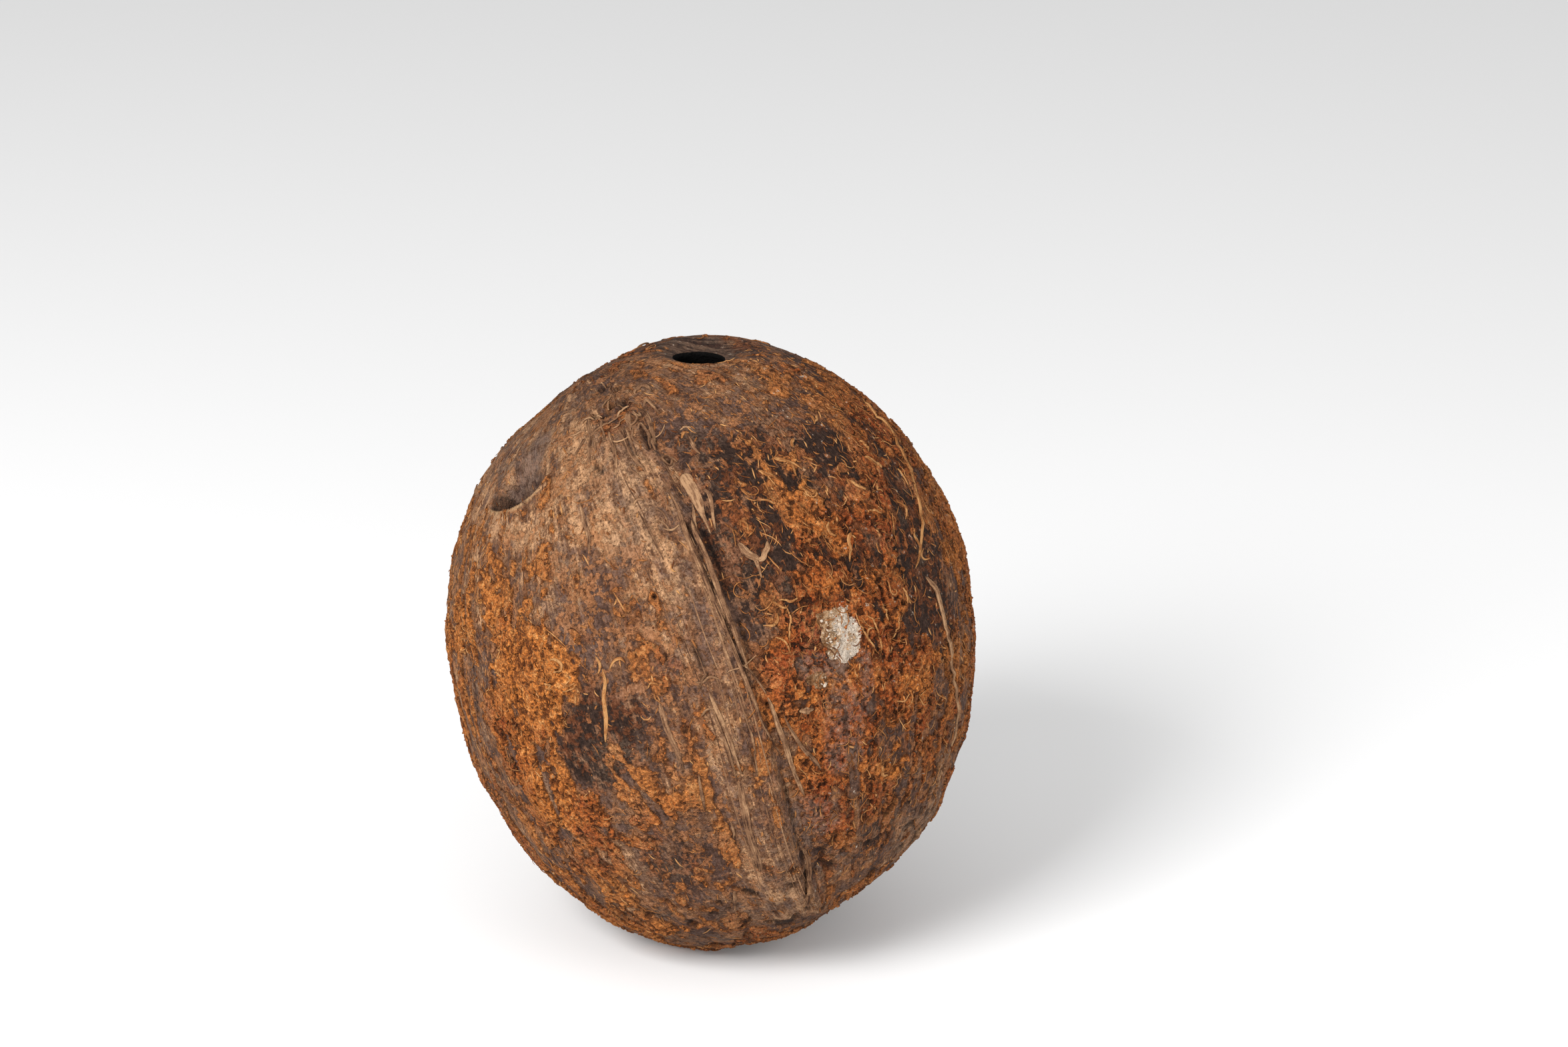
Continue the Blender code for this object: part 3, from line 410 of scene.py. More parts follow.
# Thick short curls of husk fibre, orange and tan like the pith they lie on
FRONT_CURLS = (
    (((76, -25.2), (79, -25.4), (82, -26.8), (86, -27.8), (89, -29.2), (91, -30.0)),
     (0.5, 1.0, 1.4, 1.3, 0.9, 0.4), 0.70, 1.05),
    (((73.2, -26.0), (74.8, -25.4), (76.0, -25.9), (76.8, -26.6)), (0.4, 0.8, 0.7, 0.4), 0.60, 0.90),
    (((62.8, -17.2), (65.5, -16.4), (67.6, -15.8)), (0.3, 0.5, 0.4), 0.40, 0.90),
    (((70.9, -36.8), (71.1, -35.2), (72.4, -34.1), (73.5, -35.0), (73.4, -36.8)),
     (0.4, 0.8, 0.9, 0.8, 0.4), 0.8, 1.0),
    (((76.0, -35.4), (77.0, -34.4), (76.9, -32.4)), (0.4, 0.7, 0.4), 0.60, 0.90),
    (((77.7, -36), (77.9, -34), (77.4, -32)), (0.3, 0.5, 0.3), 0.45, 0.80),
    (((75.0, -39.9), (75.8, -39.2), (76.8, -39.2)), (0.4, 0.8, 0.5), 0.60, 0.90),
    (((70.0, -56.6), (70.5, -55.4), (71.2, -54.2)), (0.4, 0.7, 0.4), 0.50, 0.85),
    (((67.6, -38.2), (67.2, -37.4), (68.4, -38.2)), (0.4, 0.6, 0.4), 0.60, 0.75),
    (((65.5, -38.3), (65.9, -37.3), (65.8, -36.4)), (0.4, 0.6, 0.3), 0.45, 0.75),
    (((76.8, -23.4), (75.6, -21.8), (75.6, -20.2), (76.8, -19.4)), (0.5, 0.9, 0.9, 0.5), 0.60, 0.75),
    (((83.6, -14.0), (82.6, -15.2), (83.4, -16.6)), (0.3, 0.6, 0.4), 0.50, 0.80),
    (((87.2, -14.8), (86.0, -15.6), (84.8, -15.4)), (0.3, 0.5, 0.3), 0.50, 0.75),
    (((56, 78.0), (57, 74.5), (60, 72.0), (64, 71.3), (68, 68.5), (73, 66.5), (78, 62.5), (83, 58.5),
      (87, 55.2), (89, 52.0)), (0.5, 0.7, 0.8, 0.9, 0.9, 0.9, 0.9, 0.9, 0.8, 0.5), 0.70, 1.00),
    (((64.3, 52.4), (66.4, 54.0), (68.0, 55.9)), (0.7, 1.4, 1.1), 0.80, 0.85),
    (((61.4, 55.0), (62.6, 55.6), (64.2, 56.0)), (0.5, 0.9, 0.4), 0.60, 0.85),
    (((66.4, 43.5), (68.2, 44.4), (69.6, 45.8)), (0.5, 0.8, 0.5), 0.70, 1.00),
    (((73.2, 43.4), (73.9, 45.0), (75.2, 46.8)), (0.3, 0.6, 0.4), 0.50, 0.85),
    (((74.8, 53.8), (76.2, 55.0), (77.6, 55.6), (79.2, 54.2)), (0.4, 0.6, 0.6, 0.3), 0.50, 0.85),
    (((81.8, 54.8), (83.8, 55.5), (85.8, 56.3)), (0.5, 1.0, 0.3), 0.60, 0.85),
    (((79.6, 34.0), (77.0, 35.2), (75.2, 36.0), (74.8, 37.0)), (0.4, 0.9, 1.1, 0.5), 0.80, 0.85),
    (((81.8, 10.4), (82.7, 12.3), (82.3, 13.4), (80.9, 14.1)), (0.3, 0.7, 0.8, 0.3), 0.60, 0.90),
    (((77.6, 14.0), (78.8, 14.3), (80.2, 15.4), (81.0, 16.4)), (0.5, 0.7, 0.7, 0.4), 0.80, 0.95),
    (((78.8, 15.4), (79.4, 16.8), (80.2, 17.6), (80.3, 19.3)), (0.4, 0.6, 0.7, 0.5), 0.80, 0.95),
    (((80.2, 16.4), (83.0, 16.3), (86.0, 14.9), (88.4, 14.3)), (0.3, 0.5, 0.5, 0.3), 0.50, 0.95),
    (((85.0, 12.0), (86.8, 13.6), (89.4, 13.8)), (0.3, 0.6, 0.4), 0.60, 0.85),
    (((55.0, 25.2), (56.6, 26.2), (59.0, 28.2)), (0.5, 1.2, 0.6), 0.70, 0.75),
    (((54.4, 30.4), (56.0, 32.4), (58.0, 33.0), (59.8, 32.4)), (0.4, 0.7, 0.7, 0.4), 0.60, 0.75),
    (((54.3, 30.2), (55.4, 31.2), (57.0, 33.4), (59.4, 34.8)), (0.3, 0.6, 0.6, 0.4), 0.50, 0.80),
    (((57.4, 37.0), (58.6, 38.2), (59.0, 38.8)), (0.4, 0.6, 0.3), 0.45, 0.85),
    (((54.8, 36.4), (54.0, 37.4), (53.6, 38.4)), (0.7, 1.0, 0.8), 0.80, 0.90),
    (((53.8, 46.2), (53.2, 47.8), (52.8, 49.4)), (0.5, 0.8, 0.7), 0.60, 0.90),
    (((51.2, 47.0), (52.4, 47.4), (53.6, 46.8)), (0.4, 0.7, 0.5), 0.60, 0.80),
    (((62.4, 31.6), (63.6, 32.0), (64.6, 33.0), (64.2, 34.0)), (0.3, 0.5, 0.6, 0.3), 0.60, 0.95),
    (((70.6, 32.8), (71.4, 31.8), (73.0, 32.2), (73.6, 33.4)), (0.4, 0.8, 0.8, 0.4), 0.70, 0.80),
    (((90.6, 33.0), (92.4, 34.4), (96.0, 34.9), (99.8, 35.2)), (0.3, 0.5, 0.5, 0.3), 0.50, 0.95),
    (((91.2, 30.8), (94.0, 31.6), (97.0, 33.0), (99.6, 34.4)), (0.3, 0.5, 0.5, 0.3), 0.50, 0.85),
    (((93.6, 33.8), (93.4, 32.6), (94.6, 31.9), (96.0, 32.1)), (0.3, 0.5, 0.5, 0.3), 0.50, 0.85),
    (((90.2, 45.2), (91.8, 45.9), (93.8, 45.6)), (0.4, 0.6, 0.3), 0.50, 0.85),
    (((90.3, 37.7), (92.2, 38.4), (94.2, 38.2)), (0.4, 0.7, 0.4), 0.50, 0.85),
    (((94.6, 42.0), (96.8, 40.8), (98.6, 39.0)), (0.3, 0.5, 0.3), 0.50, 0.85),
    (((86.4, 57.0), (87.4, 55.8), (88.6, 56.6), (89.0, 58.0)), (0.3, 0.5, 0.5, 0.3), 0.50, 0.90),
    (((122.4, 32.4), (124.6, 32.8), (126.6, 33.4), (127.6, 35.2)), (0.4, 0.8, 0.9, 0.5), 0.60, 0.95),
    (((70.2, 17.0), (71.8, 17.6), (73.6, 18.2)), (0.3, 0.5, 0.3), 0.50, 0.85),
    (((62.4, 12.6), (64.0, 12.2), (65.6, 11.6)), (0.3, 0.4, 0.2), 0.45, 1.00),
    (((62.8, 14.4), (61.9, 15.0), (62.8, 15.8), (64.4, 15.4)), (0.3, 0.5, 0.5, 0.3), 0.45, 0.85),
    (((41.4, 14.4), (40.8, 15.8), (41.4, 17.0)), (0.6, 1.1, 0.5), 0.60, 0.70),
    (((62.6, 24.0), (61.2, 23.0), (60.2, 21.4)), (0.4, 0.7, 0.4), 0.50, 0.80),
    (((69.8, 50.2), (70.8, 49.6), (72.0, 50.4)), (0.3, 0.5, 0.3), 0.50, 0.80),
    (((70.4, 62.3), (72.4, 62.7), (74.4, 62.2)), (0.4, 0.6, 0.4), 0.50, 0.90),
)
# How far the curls are turned, the front's own first, how much lower the others are each time, and how
# many degrees they keep from the front ridge
CURL_TURNS, CURL_SHIFT, OUT_OF_SIGHT = (0.0, 130.0, 248.0), 2.5, 88.0
# How far strands keep from the lowest point
REST_MARGIN = 0.019


def ridge_turns():
    return [number * SECTOR for number in range(RIDGE_COUNT)]


def moved(row, turn, lower=0.0):
    """A row of a table with its route turned about the nut, and moved down it."""
    return ([(angle + lower, azimuth + turn) for angle, azimuth in row[0]], *row[1:])


def all_gaps():
    """The gaps of the front, and the left ones again beside the third ridge."""
    return [*LEFT_GAPS, *RIGHT_GAPS, *(moved(gap, -SECTOR) for gap in LEFT_GAPS)]


def all_cracks():
    """The cracks of the front, and the creases of all three ridges."""
    return [*CRACKS, *(moved(crease, turn) for turn in ridge_turns() for crease in RIDGE_CREASES)]


def clear_of_rest(strand, turn, lower=0.0):
    """The moved strand, or nothing where it would come near the resting spot."""
    strand = moved(strand, turn, lower)
    near = math.cos(REST_MARGIN / GIRTH_RADIUS)
    return [strand] if all(ways_to(*place)[2] > -near for place in strand[0]) else []


def seam_strands():
    """The strands of all three ridges, and of the front."""
    found = list(FRONT_STRANDS)
    for turn in ridge_turns():
        for strand in RIDGE_STRANDS:
            found += clear_of_rest(strand, turn)
    return found


def pith_strands():
    """The curls of the front, and the same kinds again on the sides and the back, elsewhere and mirrored."""
    found = []
    for number, turn in enumerate(CURL_TURNS):
        mirror = -1.0 if number == 1 else 1.0
        for route, *rest in FRONT_CURLS:
            turned = [(angle, mirror * azimuth) for angle, azimuth in route]
            far = [abs((azimuth + turn + 180.0) % 360.0 - 180.0) for _, azimuth in turned]
            if number == 0 or min(far) >= OUT_OF_SIGHT:
                found += clear_of_rest((turned, *rest), turn, CURL_SHIFT * number)
    return found


# The mould: round spots that run together, each a place and a radius
MOULD_SPOTS = (
    ((91.4, 27.2), 0.0030), ((94.0, 27.0), 0.0026), ((88.4, 26.4), 0.0024), ((90.6, 23.6), 0.0024),
    ((93.6, 23.6), 0.0018), ((86.6, 23.2), 0.0016), ((96.2, 25.4), 0.0010), ((97.6, 18.6), 0.0016),
    ((96.6, 17.0), 0.0012),
)

# Thin grey-lilac films on the pith: the route, and how far they reach beside it
FILMS = (
    (((94.0, 17.5), (95.5, 19.5)), 0.0036), (((97, 23.4), (101.4, 23), (106, 22.6)), 0.0026),
    (((98, 30), (103.4, 30.2), (109, 29.2)), 0.0020), (((106, 23), (116, 22)), 0.0055),
    (((124, 8), (128, 14)), 0.0050),
)


def mould_amount(ways):
    """1 in the mould's spots, with a ragged edge round them."""
    found = np.zeros(len(ways))
    for place, radius in MOULD_SPOTS:
        found = np.maximum(found, 1.0 - smooth(distance_from(ways, place), 0.6 * radius, 1.4 * radius))
    return np.clip(found + 0.25 * (found > 0.0) * lumps(ways, 1.6 * MM, 81, 2), 0.0, 1.0)


LATTICE_SIDE = 32


def lattice_noise(spots, seed):
    """Smooth noise from -1 to 1 with one random value at each whole place."""
    table = np.random.default_rng(seed).uniform(-1.0, 1.0, (LATTICE_SIDE,) * 3)
    cell = np.floor(spots).astype(int)
    part = spots - cell
    part = part * part * (3.0 - 2.0 * part)
    total = np.zeros(len(spots))
    for corner in itertools.product((0, 1), repeat=3):
        weight = np.where(corner, part, 1.0 - part).prod(-1)
        total += weight * table[tuple(((cell + corner) % LATTICE_SIDE).T)]
    return total


TILTS = [
    np.array(Matrix.Rotation(0.7 + step, 3, Vector((1.0, 0.6 * step, 0.8 - step)).normalized()))
    for step in (0.0, 0.5, 1.1, 1.9)
]


def lumps(ways, length, seed, octaves=1):
    """Noise in lumps of about this many metres, the same in every direction."""
    total, share = 0.0, 1.0
    for octave in range(octaves):
        spots = ways @ TILTS[octave] * (GIRTH_RADIUS / length * 2**octave)
        total = total + share * lattice_noise(spots, seed + octave)
        share *= 0.55
    return total


def nut_places(angle, azimuth):
    """Millimetres round the nut and down its meridians, without a seam."""
    turned = np.radians(azimuth)
    size = GIRTH_RADIUS / MM
    return np.stack([np.cos(turned) * size, np.sin(turned) * size, np.radians(angle) * size], -1)


def streaks(angle, azimuth, width, length, seed):
    """Noise in streaks along the meridians, this wide and long at the girth."""
    return lattice_noise(nut_places(angle, azimuth) * MM / np.array([width, width, length]), seed)


def zone_values(ways):
    """The zones' four amounts at unit vectors, blended from the nearest zones."""
    zones = np.array(ZONES, float)
    centres = ways_to(zones[:, 0], zones[:, 1])
    found = [np.empty((0, 4))]
    for start in range(0, len(ways), WAYS_AT_ONCE):
        off = np.degrees(np.arccos(np.clip(ways[start:start + WAYS_AT_ONCE] @ centres.T, -1.0, 1.0)))
        weight = np.exp(-((off / ZONE_REACH) ** 2)) + 1e-9
        found.append(weight @ zones[:, 2:] / weight.sum(1)[:, None])
    return np.concatenate(found)


def route_points(places, steps=24):
    """Places along a smooth curve through these ones."""
    knots = np.array(places, float)
    knots = np.vstack([2.0 * knots[0] - knots[1], knots, 2.0 * knots[-1] - knots[-2]])
    found = []
    for before, start, end, after in zip(knots, knots[1:], knots[2:], knots[3:]):
        share = np.linspace(0.0, 1.0, steps, endpoint=False)[:, None]
        bend = 2.0 * before - 5.0 * start + 4.0 * end - after
        swing = 3.0 * start - before - 3.0 * end + after
        found.append(0.5 * (2.0 * start + (end - before) * share + bend * share**2 + swing * share**3))
    return np.vstack(found + [knots[-2:-1]])


def off_route(ways, places):
    """Metres from a curve through these places."""
    points = route_points(places, 10)
    nearest = (ways @ ways_to(points[:, 0], points[:, 1]).T).max(1)
    return np.arccos(np.clip(nearest, -1.0, 1.0)) * GIRTH_RADIUS


# How far the flat band of each ridge reaches to its left and to its right, fading between each two
BAND_LEFT, BAND_RIGHT = (-0.0065, -0.0045), (0.0036, 0.0052)
# How far past the open eye's edge the skin gets as rough as elsewhere, and how round that edge is
EYE_SMOOTH, EYE_EDGE, EYE_ROUNDING = (0.0002, 0.0040), 0.0005, 0.00022
# Where the skin is streaked, lumpy at its lower end, and dimpled there, by the angle from the stem end
OFF_POLES, LOWER_LUMPS, LOWER_DIMPLES = ((6.0, 16.0), (160.0, 172.0)), (122.0, 140.0), (124.0, 136.0)
# How low fibres and crumbs may come to the floor
LOWEST = 0.0008


class Cover:
    """What covers the shell at each of these unit vectors: the skin, and the pith crust on it."""

    def __init__(self, ways):
        angle, azimuth = places_of(ways)
        self.angle, self.azimuth, self.ways = angle, azimuth, ways
        pith, rust, felt, dust = zone_values(ways).T
        across = ridge_across(angle, azimuth)
        self.band = between(across, BAND_LEFT, BAND_RIGHT) * ridge_ends(angle)
        ragged = 0.55 * lumps(ways, 6.5 * MM, 11) + 0.50 * lumps(ways, 2.9 * MM, 12)
        ragged += 0.62 * streaks(angle, azimuth, 2.1 * MM, 13 * MM, 13) + 0.36 * lumps(ways, 1.3 * MM, 14, 2)
        worn = 0.5 * lumps(ways, 8 * MM, 21) + 0.4 * streaks(angle, azimuth, 2.5 * MM, 14 * MM, 22)
        worn += 0.4 * lumps(ways, 3.2 * MM, 23, 2)
        self.gap = np.zeros(len(ways))
        for places, width in all_gaps():
            self.gap = np.maximum(self.gap, 1.0 - smooth(off_route(ways, places), 0.35 * width, width))
        self.gap = self.gap * smooth(lumps(ways, 4 * MM, 72), -0.55, -0.1)
        self.black = 1.0 - smooth(felt, 0.12, 0.42)
        self.rich = smooth(pith, 0.30, 0.75)
        self.pith = pith - 0.5 + 0.60 * ragged - 0.80 * self.gap
        self.felt = felt - 0.5 + 0.60 * worn
        self.rust = np.clip(rust + 0.35 * lumps(ways, 9 * MM, 31) + 0.25 * lumps(ways, 3 * MM, 32), 0.0, 1.0)
        self.dust = dust + 0.4 * lumps(ways, 7 * MM, 41, 2)
        past_eye = distance_from(ways, OPEN_EYE) - HOLE_RADIUS
        self.coarse = smooth(past_eye, *EYE_SMOOTH) * (1.0 - 0.75 * np.clip(scoop(ways) * 3.0, 0.0, 1.0))
        rim = np.clip(1.0 - past_eye / EYE_EDGE, 0.0, 1.0)
        self.height = self.coarse * self.skin() - EYE_ROUNDING * (1.0 - np.sqrt(1.0 - rim**2))
        self.mould = mould_amount(ways)
        self.crust = self.coarse * self.crust_lift()
        self.top = self.height + np.maximum(self.crust, 0.0)

    def skin(self):
        """How high the skin stands over the plain form: streaks, felt, lumps, pores and cracks."""
        ways, angle, azimuth = self.ways, self.angle, self.azimuth
        poles = between(angle, *OFF_POLES)
        height = poles * (0.07 * MM + 0.08 * MM * self.band) * streaks(angle, azimuth, 1.5 * MM, 13 * MM, 61)
        height += poles * 0.14 * MM * streaks(angle, azimuth, 3.4 * MM, 22 * MM, 62)
        height += 0.14 * MM * smooth(self.felt, -0.06, 0.10) + 0.05 * MM * lumps(ways, 1.8 * MM, 63, 2)
        height -= 0.25 * MM * self.gap
        height += 0.30 * MM * smooth(angle, *LOWER_LUMPS) * lumps(ways, 2.6 * MM, 64, 2)
        dimple = smooth(lumps(ways, 2.1 * MM, 66), 0.42, 0.60) * smooth(angle, *LOWER_DIMPLES)
        height -= 0.55 * MM * dimple
        stem = smooth(32.0 - angle, 0.0, 12.0) * (1.0 - smooth(np.abs(azimuth - 2.0), 16.0, 30.0))
        height += 0.60 * MM * stem * lumps(ways, 1.9 * MM, 65, 2)
        self.pore, self.crack = np.zeros(len(ways)), np.zeros(len(ways))
        for place, radius, depth in PORES:
            inside = 1.0 - smooth(distance_from(ways, place), 0.35 * radius, 1.25 * radius)
            self.pore = np.maximum(self.pore, inside)
            height -= depth * inside
        for places, width, depth in all_cracks():
            inside = 1.0 - smooth(off_route(ways, places), 0.3 * width, 1.4 * width)
            inside *= smooth(lumps(ways, 5 * MM, 71), -0.5, 0.1)
            self.crack = np.maximum(self.crack, inside)
            height -= depth * inside
        # Dimples join the pores, to be painted dark as the shade in them
        self.pore = np.maximum(self.pore, 0.75 * dimple)
        return height

    def crust_lift(self):
        """How high the crust stands over the skin: below 0 where there is none."""
        ways = self.ways
        rows = streaks(self.angle, self.azimuth, 1.5 * MM, 5.0 * MM, 56)
        knob = np.abs(0.8 * lumps(ways, 1.9 * MM, 52, 2) + 0.5 * rows)
        bead = np.abs(lumps(ways, 0.95 * MM, 53))
        dome, small = (1.0 - (1.0 - np.clip(part / 0.5, 0.0, 1.0)) ** 2 for part in (knob, bead))
        crevice = (1.0 - smooth(knob, 0.02, 0.10)) * smooth(lumps(ways, 2.6 * MM, 58), -0.1, 0.3)
        holes = lumps(ways, 1.3 * MM, 55, 2) - 0.75 + 0.35 * self.rust
        # Pits: thin crust over holes and crevices, painted dark partly as the shell showing through and
        # partly as shade in the crevices
        self.pit = np.maximum(0.8 * crevice, smooth(holes, 0.0, 0.14)) * (1.0 - self.mould)
        full = (0.12 + 0.35 * dome + 0.18 * small) * MM + 0.19 * MM * lumps(ways, 3.4 * MM, 51)
        full = 0.04 * MM + (1.0 - self.pit) * np.clip(full, 0.12 * MM, None)
        full = full * (0.50 + 0.50 * self.rich)
        full = full * (1.0 - self.mould) + (0.34 + 0.16 * small) * MM * self.mould
        # How low the crust lies between its domes, for the painted shade in its hollows
        self.hollow = np.clip(0.75 * (1.0 - dome) + 0.40 * (1.0 - small), 0.0, 1.0)
        lift = smooth(self.pith, -0.02, 0.035) * (1.0 - 0.8 * np.maximum(self.crack, self.pore)) * full
        return lift - 0.35 * MM * (1.0 - smooth(self.pith, -0.06, 0.0))


def points_over(ways, height, lowest=0.0):
    """Points this far above the plain form, and no lower than lowest."""
    points = ways * (shell_radius(ways) + height)[..., None] + CENTRE
    points[..., 2] = np.maximum(points[..., 2], lowest)
    return points


def surface(ways, height):
    """Points this far above the dressed surface, and its cover, clear of the floor."""
    cover = Cover(ways)
    return points_over(ways, cover.top + height, LOWEST), cover


def put_attribute(mesh, name, values):
    """Keeps one number, or one vector, for each of the mesh's points."""
    values = np.asarray(values, np.float32)
    kind, field = ("FLOAT", "value") if values.ndim == 1 else ("FLOAT_VECTOR", "vector")
    attribute = mesh.attributes.new(name, kind, "POINT")
    attribute.data.foreach_set(field, values.ravel())


def mark_faces(mesh, name, points):
    """1 on the faces that have all their corners among these points."""
    attribute = mesh.attributes.new(name, "FLOAT", "FACE")
    marked = [float(all(points[corner] for corner in face.vertices)) for face in mesh.polygons]
    attribute.data.foreach_set("value", marked)


def link(name, mesh):
    piece = bpy.data.objects.new(name, mesh)
    bpy.context.scene.collection.objects.link(piece)
    return piece


def take_mesh(piece):
    """The piece's mesh with its modifiers applied."""
    return bpy.data.meshes.new_from_object(piece.evaluated_get(bpy.context.evaluated_depsgraph_get()))


def points_of(mesh):
    points = np.empty(len(mesh.vertices) * 3)
    mesh.vertices.foreach_get("co", points)
    return points.reshape(-1, 3)


def refine(bm, place, reach):
    """Cuts the edges near a place of a unit sphere in two."""
    centre = Vector(ways_to(*place))
    near = math.cos(reach / GIRTH_RADIUS)
    edges = [
        edge
        for edge in bm.edges
        if ((edge.verts[0].co + edge.verts[1].co) / 2).normalized().dot(centre) > near
    ]
    bmesh.ops.subdivide_edges(bm, edges=edges, cuts=1, use_grid_fill=True)


def eye_cutter():
    """The turned shape of the drilled hole: a neck through the lip, and the pocket under it."""
    corners = (
        (0.0, HOLE_CLEARANCE),
        (HOLE_RADIUS, HOLE_CLEARANCE),
        (HOLE_RADIUS, -LIP_THICKNESS),
        (POCKET_RADIUS, -LIP_THICKNESS - POCKET_SLOPE),
        (POCKET_RADIUS, -POCKET_DEPTH + POCKET_SLOPE),
        (HOLE_RADIUS, -POCKET_DEPTH),
        (0.0, -POCKET_DEPTH),
    )
    bm = bmesh.new()
    verts = [bm.verts.new((radius, 0.0, height)) for radius, height in corners]
    edges = [bm.edges.new(pair) for pair in zip(verts, verts[1:])]
    bmesh.ops.spin(
        bm, geom=verts + edges, cent=(0, 0, 0), axis=(0, 0, 1), angle=2.0 * math.pi,
        steps=HOLE_STEPS, use_merge=True,
    )
    bmesh.ops.remove_doubles(bm, verts=bm.verts, dist=1e-5)
    bmesh.ops.recalc_face_normals(bm, faces=bm.faces)
    way = ways_to(*OPEN_EYE)
    place = Matrix.Translation(Vector(way * float(shell_radius(way)) + CENTRE))
    turn = Vector(way).to_track_quat("Z", "Y").to_matrix().to_4x4()
    bmesh.ops.transform(bm, matrix=place @ turn, verts=bm.verts)
    mesh = bpy.data.meshes.new("eye_cutter")
    bm.to_mesh(mesh)
    bm.free()
    return link("eye_cutter", mesh)


def shell_body():
    """The whole nut as one closed skin, with its drilled eye."""
    bm = bmesh.new()
    bmesh.ops.create_cube(bm, size=2.0)
    bmesh.ops.subdivide_edges(bm, edges=bm.edges, cuts=GRID_CUTS, use_grid_fill=True)
    quarter = math.pi / 4
    for vert in bm.verts:
        vert.co = Vector([math.tan(value * quarter) for value in vert.co]).normalized()
    for place, reach in FINE_AREAS:
        refine(bm, place, reach)
    mesh = bpy.data.meshes.new("coconut_shell")
    bm.to_mesh(mesh)
    bm.free()
    ways = points_of(mesh)
    ways /= np.linalg.norm(ways, axis=1)[:, None]
    points = points_over(ways, Cover(ways).height)
    mesh.vertices.foreach_set("co", points.ravel())
    mesh.update()
    body = link("coconut_shell", mesh)
    cutter = eye_cutter()
    drill = body.modifiers.new("open_eye", "BOOLEAN")
    drill.operation = "DIFFERENCE"
    drill.object = cutter
    drilled = take_mesh(body)
    body.modifiers.clear()
    body.data = drilled
    bpy.data.objects.remove(cutter, do_unlink=True)
    dress_shell(drilled)
    return body


# How fine the crust's grid is, how far it goes on under the skin, and the azimuth where each piece starts
CRUST_CUTS, CRUST_EDGE = 300, -0.07
CRUST_PARTS = (("left", -122.0), ("right", -2.0), ("back", 118.0))


def crust_pieces(material):
    """The pith crust: one finely cut skin between each two ridges, its edges tucked under the shell."""
    bm = bmesh.new()
    bmesh.ops.create_cube(bm, size=2.0)
    bmesh.ops.subdivide_edges(bm, edges=bm.edges, cuts=CRUST_CUTS, use_grid_fill=True)
    whole = bpy.data.meshes.new("crust_grid")
    bm.to_mesh(whole)
    bm.free()
    ways = np.tan(points_of(whole) * math.pi / 4)
    ways /= np.linalg.norm(ways, axis=1)[:, None]
    cover = Cover(ways)
    whole.vertices.foreach_set("co", points_over(ways, cover.height + cover.crust).ravel())
    dress(whole, cover)
    for name in ("hollow", "pit", "rich"):
        put_attribute(whole, name, getattr(cover, name))
    corner_of = np.empty(4 * len(whole.polygons), np.int32)
    whole.loops.foreach_get("vertex_index", corner_of)
    corner_of = corner_of.reshape(-1, 4)
    covered = (cover.pith[corner_of].max(1) > CRUST_EDGE) & (cover.coarse[corner_of].min(1) > 0.02)
    azimuth = cover.azimuth[corner_of[:, 0]]
    for name, low in CRUST_PARTS:
        kept = covered & ((azimuth - low) % 360.0 < SECTOR)
        part = bmesh.new()
        part.from_mesh(whole)
        part.faces.ensure_lookup_table()
        spare = [part.faces[number] for number in np.flatnonzero(~kept)]
        bmesh.ops.delete(part, geom=spare, context="FACES")
        mesh = bpy.data.meshes.new(f"pith_crust_{name}")
        part.to_mesh(mesh)
        part.free()
        mesh.shade_smooth()
        mesh.materials.append(material)
        piece = link(f"pith_crust_{name}", mesh)
        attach(piece, "root")
    bpy.data.meshes.remove(whole)


def dress(mesh, cover):
    """Gives a skin what its material needs to know at each point."""
    for name in ("pith", "rust", "dust", "mould"):
        put_attribute(mesh, name, getattr(cover, name))
    # Pores, cracks and dimples, painted dark as the shade in them
    put_attribute(mesh, "pore", np.maximum(cover.pore, 0.8 * cover.crack))
    put_attribute(mesh, "yellow", 1.0 - smooth(cover.azimuth + 0.35 * (cover.angle - 90.0), 22.0, 26.5))
    films = [1.0 - smooth(off_route(cover.ways, route), 0.6 * reach, reach) for route, reach in FILMS]
    put_attribute(mesh, "film", np.max(films, axis=0))
    put_attribute(mesh, "nut_place", nut_places(cover.angle, cover.azimuth))


# Where the dark skin of the open eye's dish lies, the scooped eye's corner where painted shadow falls, and
# the upper reach of its painted shade
DARK_DISH, SCOOP_SHADOW_CORNER = (23.5, 63.0), (34.6, -57.5)
SCOOP_SHADE = ((35, -50), (31, -46), (27.5, -41.5), (25, -38))


